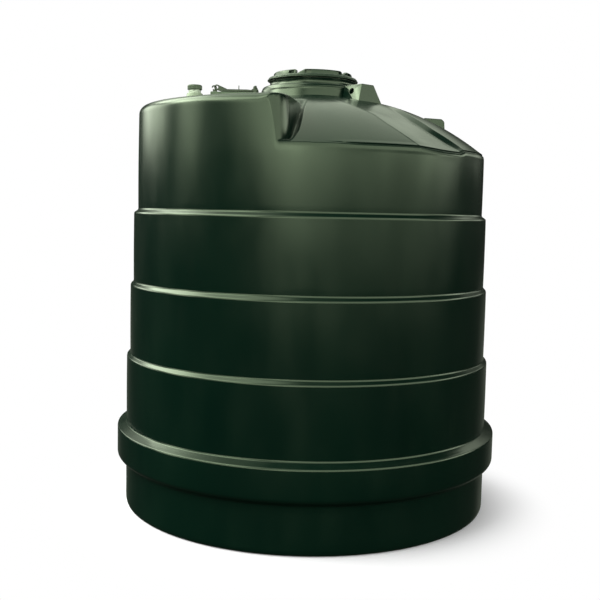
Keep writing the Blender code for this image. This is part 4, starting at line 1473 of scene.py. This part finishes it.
@dataclass
class Studio:
    """Pale floor, soft light all around and the camera at the photograph's angle."""

    eye: Point = (0.0, -5.101, 1.586)
    yaw: float = -0.484
    pitch: float = 5.450
    roll: float = 1.238
    lens: float = 55.34
    dim: float = 0.03
    tint: Colour = (0.90, 1.0, 0.80, 1.0)
    floor_radii: Span = (1.5, 3.0, 6.0, 14.0)
    floor_colour: Colour = (0.82, 0.74, 0.92, 1.0)
    floor_fade: Pair = (0.92, 1.40)

    def build_camera(self) -> None:
        """Camera with the photograph's place and view."""
        yaw, pitch, roll = (math.radians(a) for a in (self.yaw, self.pitch, self.roll))
        forward = Vector((math.sin(yaw) * math.cos(pitch), math.cos(yaw) * math.cos(pitch), -math.sin(pitch)))
        level = Vector((math.cos(yaw), -math.sin(yaw), 0.0))
        upright = level.cross(forward)
        right = level * math.cos(roll) + upright * math.sin(roll)
        up = upright * math.cos(roll) - level * math.sin(roll)
        camera = bpy.data.objects.new("camera", bpy.data.cameras.new("camera"))
        rows = [(right[k], up[k], -forward[k], self.eye[k]) for k in range(3)]
        camera.matrix_world = Matrix((*rows, (0.0, 0.0, 0.0, 1.0)))
        camera.data.sensor_width = 36.0
        camera.data.lens = self.lens
        bpy.context.scene.collection.objects.link(camera)
        bpy.context.scene.camera = camera
        bpy.context.scene.view_settings.view_transform = "Standard"

    def build_light(self) -> None:
        """Soft light from a pale room: open above and behind, banded at eye level, dark below."""
        world = bpy.data.worlds.new("studio")
        world.use_nodes = True
        bpy.context.scene.world = world
        graph = NodeGraph(world.node_tree)
        place = graph.add("TexCoord", {})["Generated"]
        parts = graph.add("SeparateXYZ", {"Vector": place})
        clouds = graph.add("TexNoise", {"Vector": place, "Scale": 5.0, "Detail": 2.0})["Color"]
        drift = graph.add("SeparateColor", {"Color": clouds})

        def drifting(angle: Socket, channel: str, reach: float) -> Socket:
            """Angle in degrees that drifts by up to the reach either way; returns its socket."""
            degrees = graph.math("MULTIPLY", angle, 180.0 / math.pi)
            return graph.math("ADD", degrees, graph.math("MULTIPLY_ADD", drift[channel], 2.0 * reach, -reach))

        def fall(value: Socket, start: float, end: float) -> Socket:
            """Smooth fall from 1 to 0; returns its socket."""
            return graph.math("SUBTRACT", 1.0, graph.spread(value, start, end, smooth=True))

        def window(value: Socket, span: Span) -> Socket:
            """Smooth rise between the first two numbers and fall between the last two; returns its socket."""
            return graph.math("MULTIPLY", graph.spread(value, *span[:2], smooth=True), fall(value, *span[2:]))

        up = drifting(graph.math("ARCSINE", parts["Z"]), "Red", 2.5)
        turn = graph.math("ARCTAN2", parts["X"], graph.math("MULTIPLY", parts["Y"], -1.0))
        turn = drifting(turn, "Green", 5.0)
        total: Socket | float = self.dim
        for glow in GLOWS:
            around, upward = turn, window(up, glow.height)
            if glow.slant:
                slant = graph.math("MULTIPLY_ADD", up, glow.slant, -5.0 * glow.slant)
                around = graph.math("ADD", turn, slant)
            if glow.falloff != 1.0:
                slope = graph.math("POWER", graph.spread(up, *glow.height[:2]), glow.falloff)
                upward = graph.math("MULTIPLY", slope, fall(up, *glow.height[2:]))
            part = graph.math("MULTIPLY", window(around, glow.around), upward)
            total = graph.math("MULTIPLY_ADD", part, glow.level, total)
        seen = graph.add("LightPath", {})["Is Camera Ray"]
        strength = graph.add("Mix", {"Factor": seen, "A": total, "B": 1.0})["Result"]
        background = world.node_tree.nodes["Background"]
        graph.feed(background, {"Strength": strength, "Color": graph.mix(seen, self.tint, WHITE)})

    def build_floor(self) -> None:
        """Plain pale floor that fades to white away from the tank."""
        floor = turned("floor", [(0.0, 0.0)] + [(radius, 0.0) for radius in self.floor_radii], 96)
        material, graph, shader = new_material("pale_floor")
        graph.feed(shader, {"Base Color": self.floor_colour, "Roughness": 0.9, "Specular IOR Level": 0.0})
        place = graph.add("TexCoord", {})["Object"]
        length = graph.add("VectorMath", {0: place}, operation="LENGTH")["Value"]
        white = graph.add("Emission", {})["Emission"]
        blend = graph.add("MixShader", {"Fac": graph.spread(length, *self.floor_fade, smooth=True),
                                        1: shader.outputs["BSDF"], 2: white})["Shader"]
        graph.feed(material.node_tree.nodes["Material Output"], {"Surface": blend})
        floor.data.materials.append(material)
        floor.visible_glossy = False
        floor.visible_diffuse = False


def main() -> None:
    """Build the tank's pieces in order, then the studio."""
    logging.basicConfig(level=logging.INFO, format="%(name)s: %(message)s")
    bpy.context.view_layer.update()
    for part in (TankSkin(RoofShape()), Manhole(), LiftingLugs(), Filler(), Hatch()):
        part.dress()
    studio = Studio()
    studio.build_camera()
    studio.build_light()
    studio.build_floor()
    LOG.info("all pieces in place")


if __name__ == "__main__":
    main()
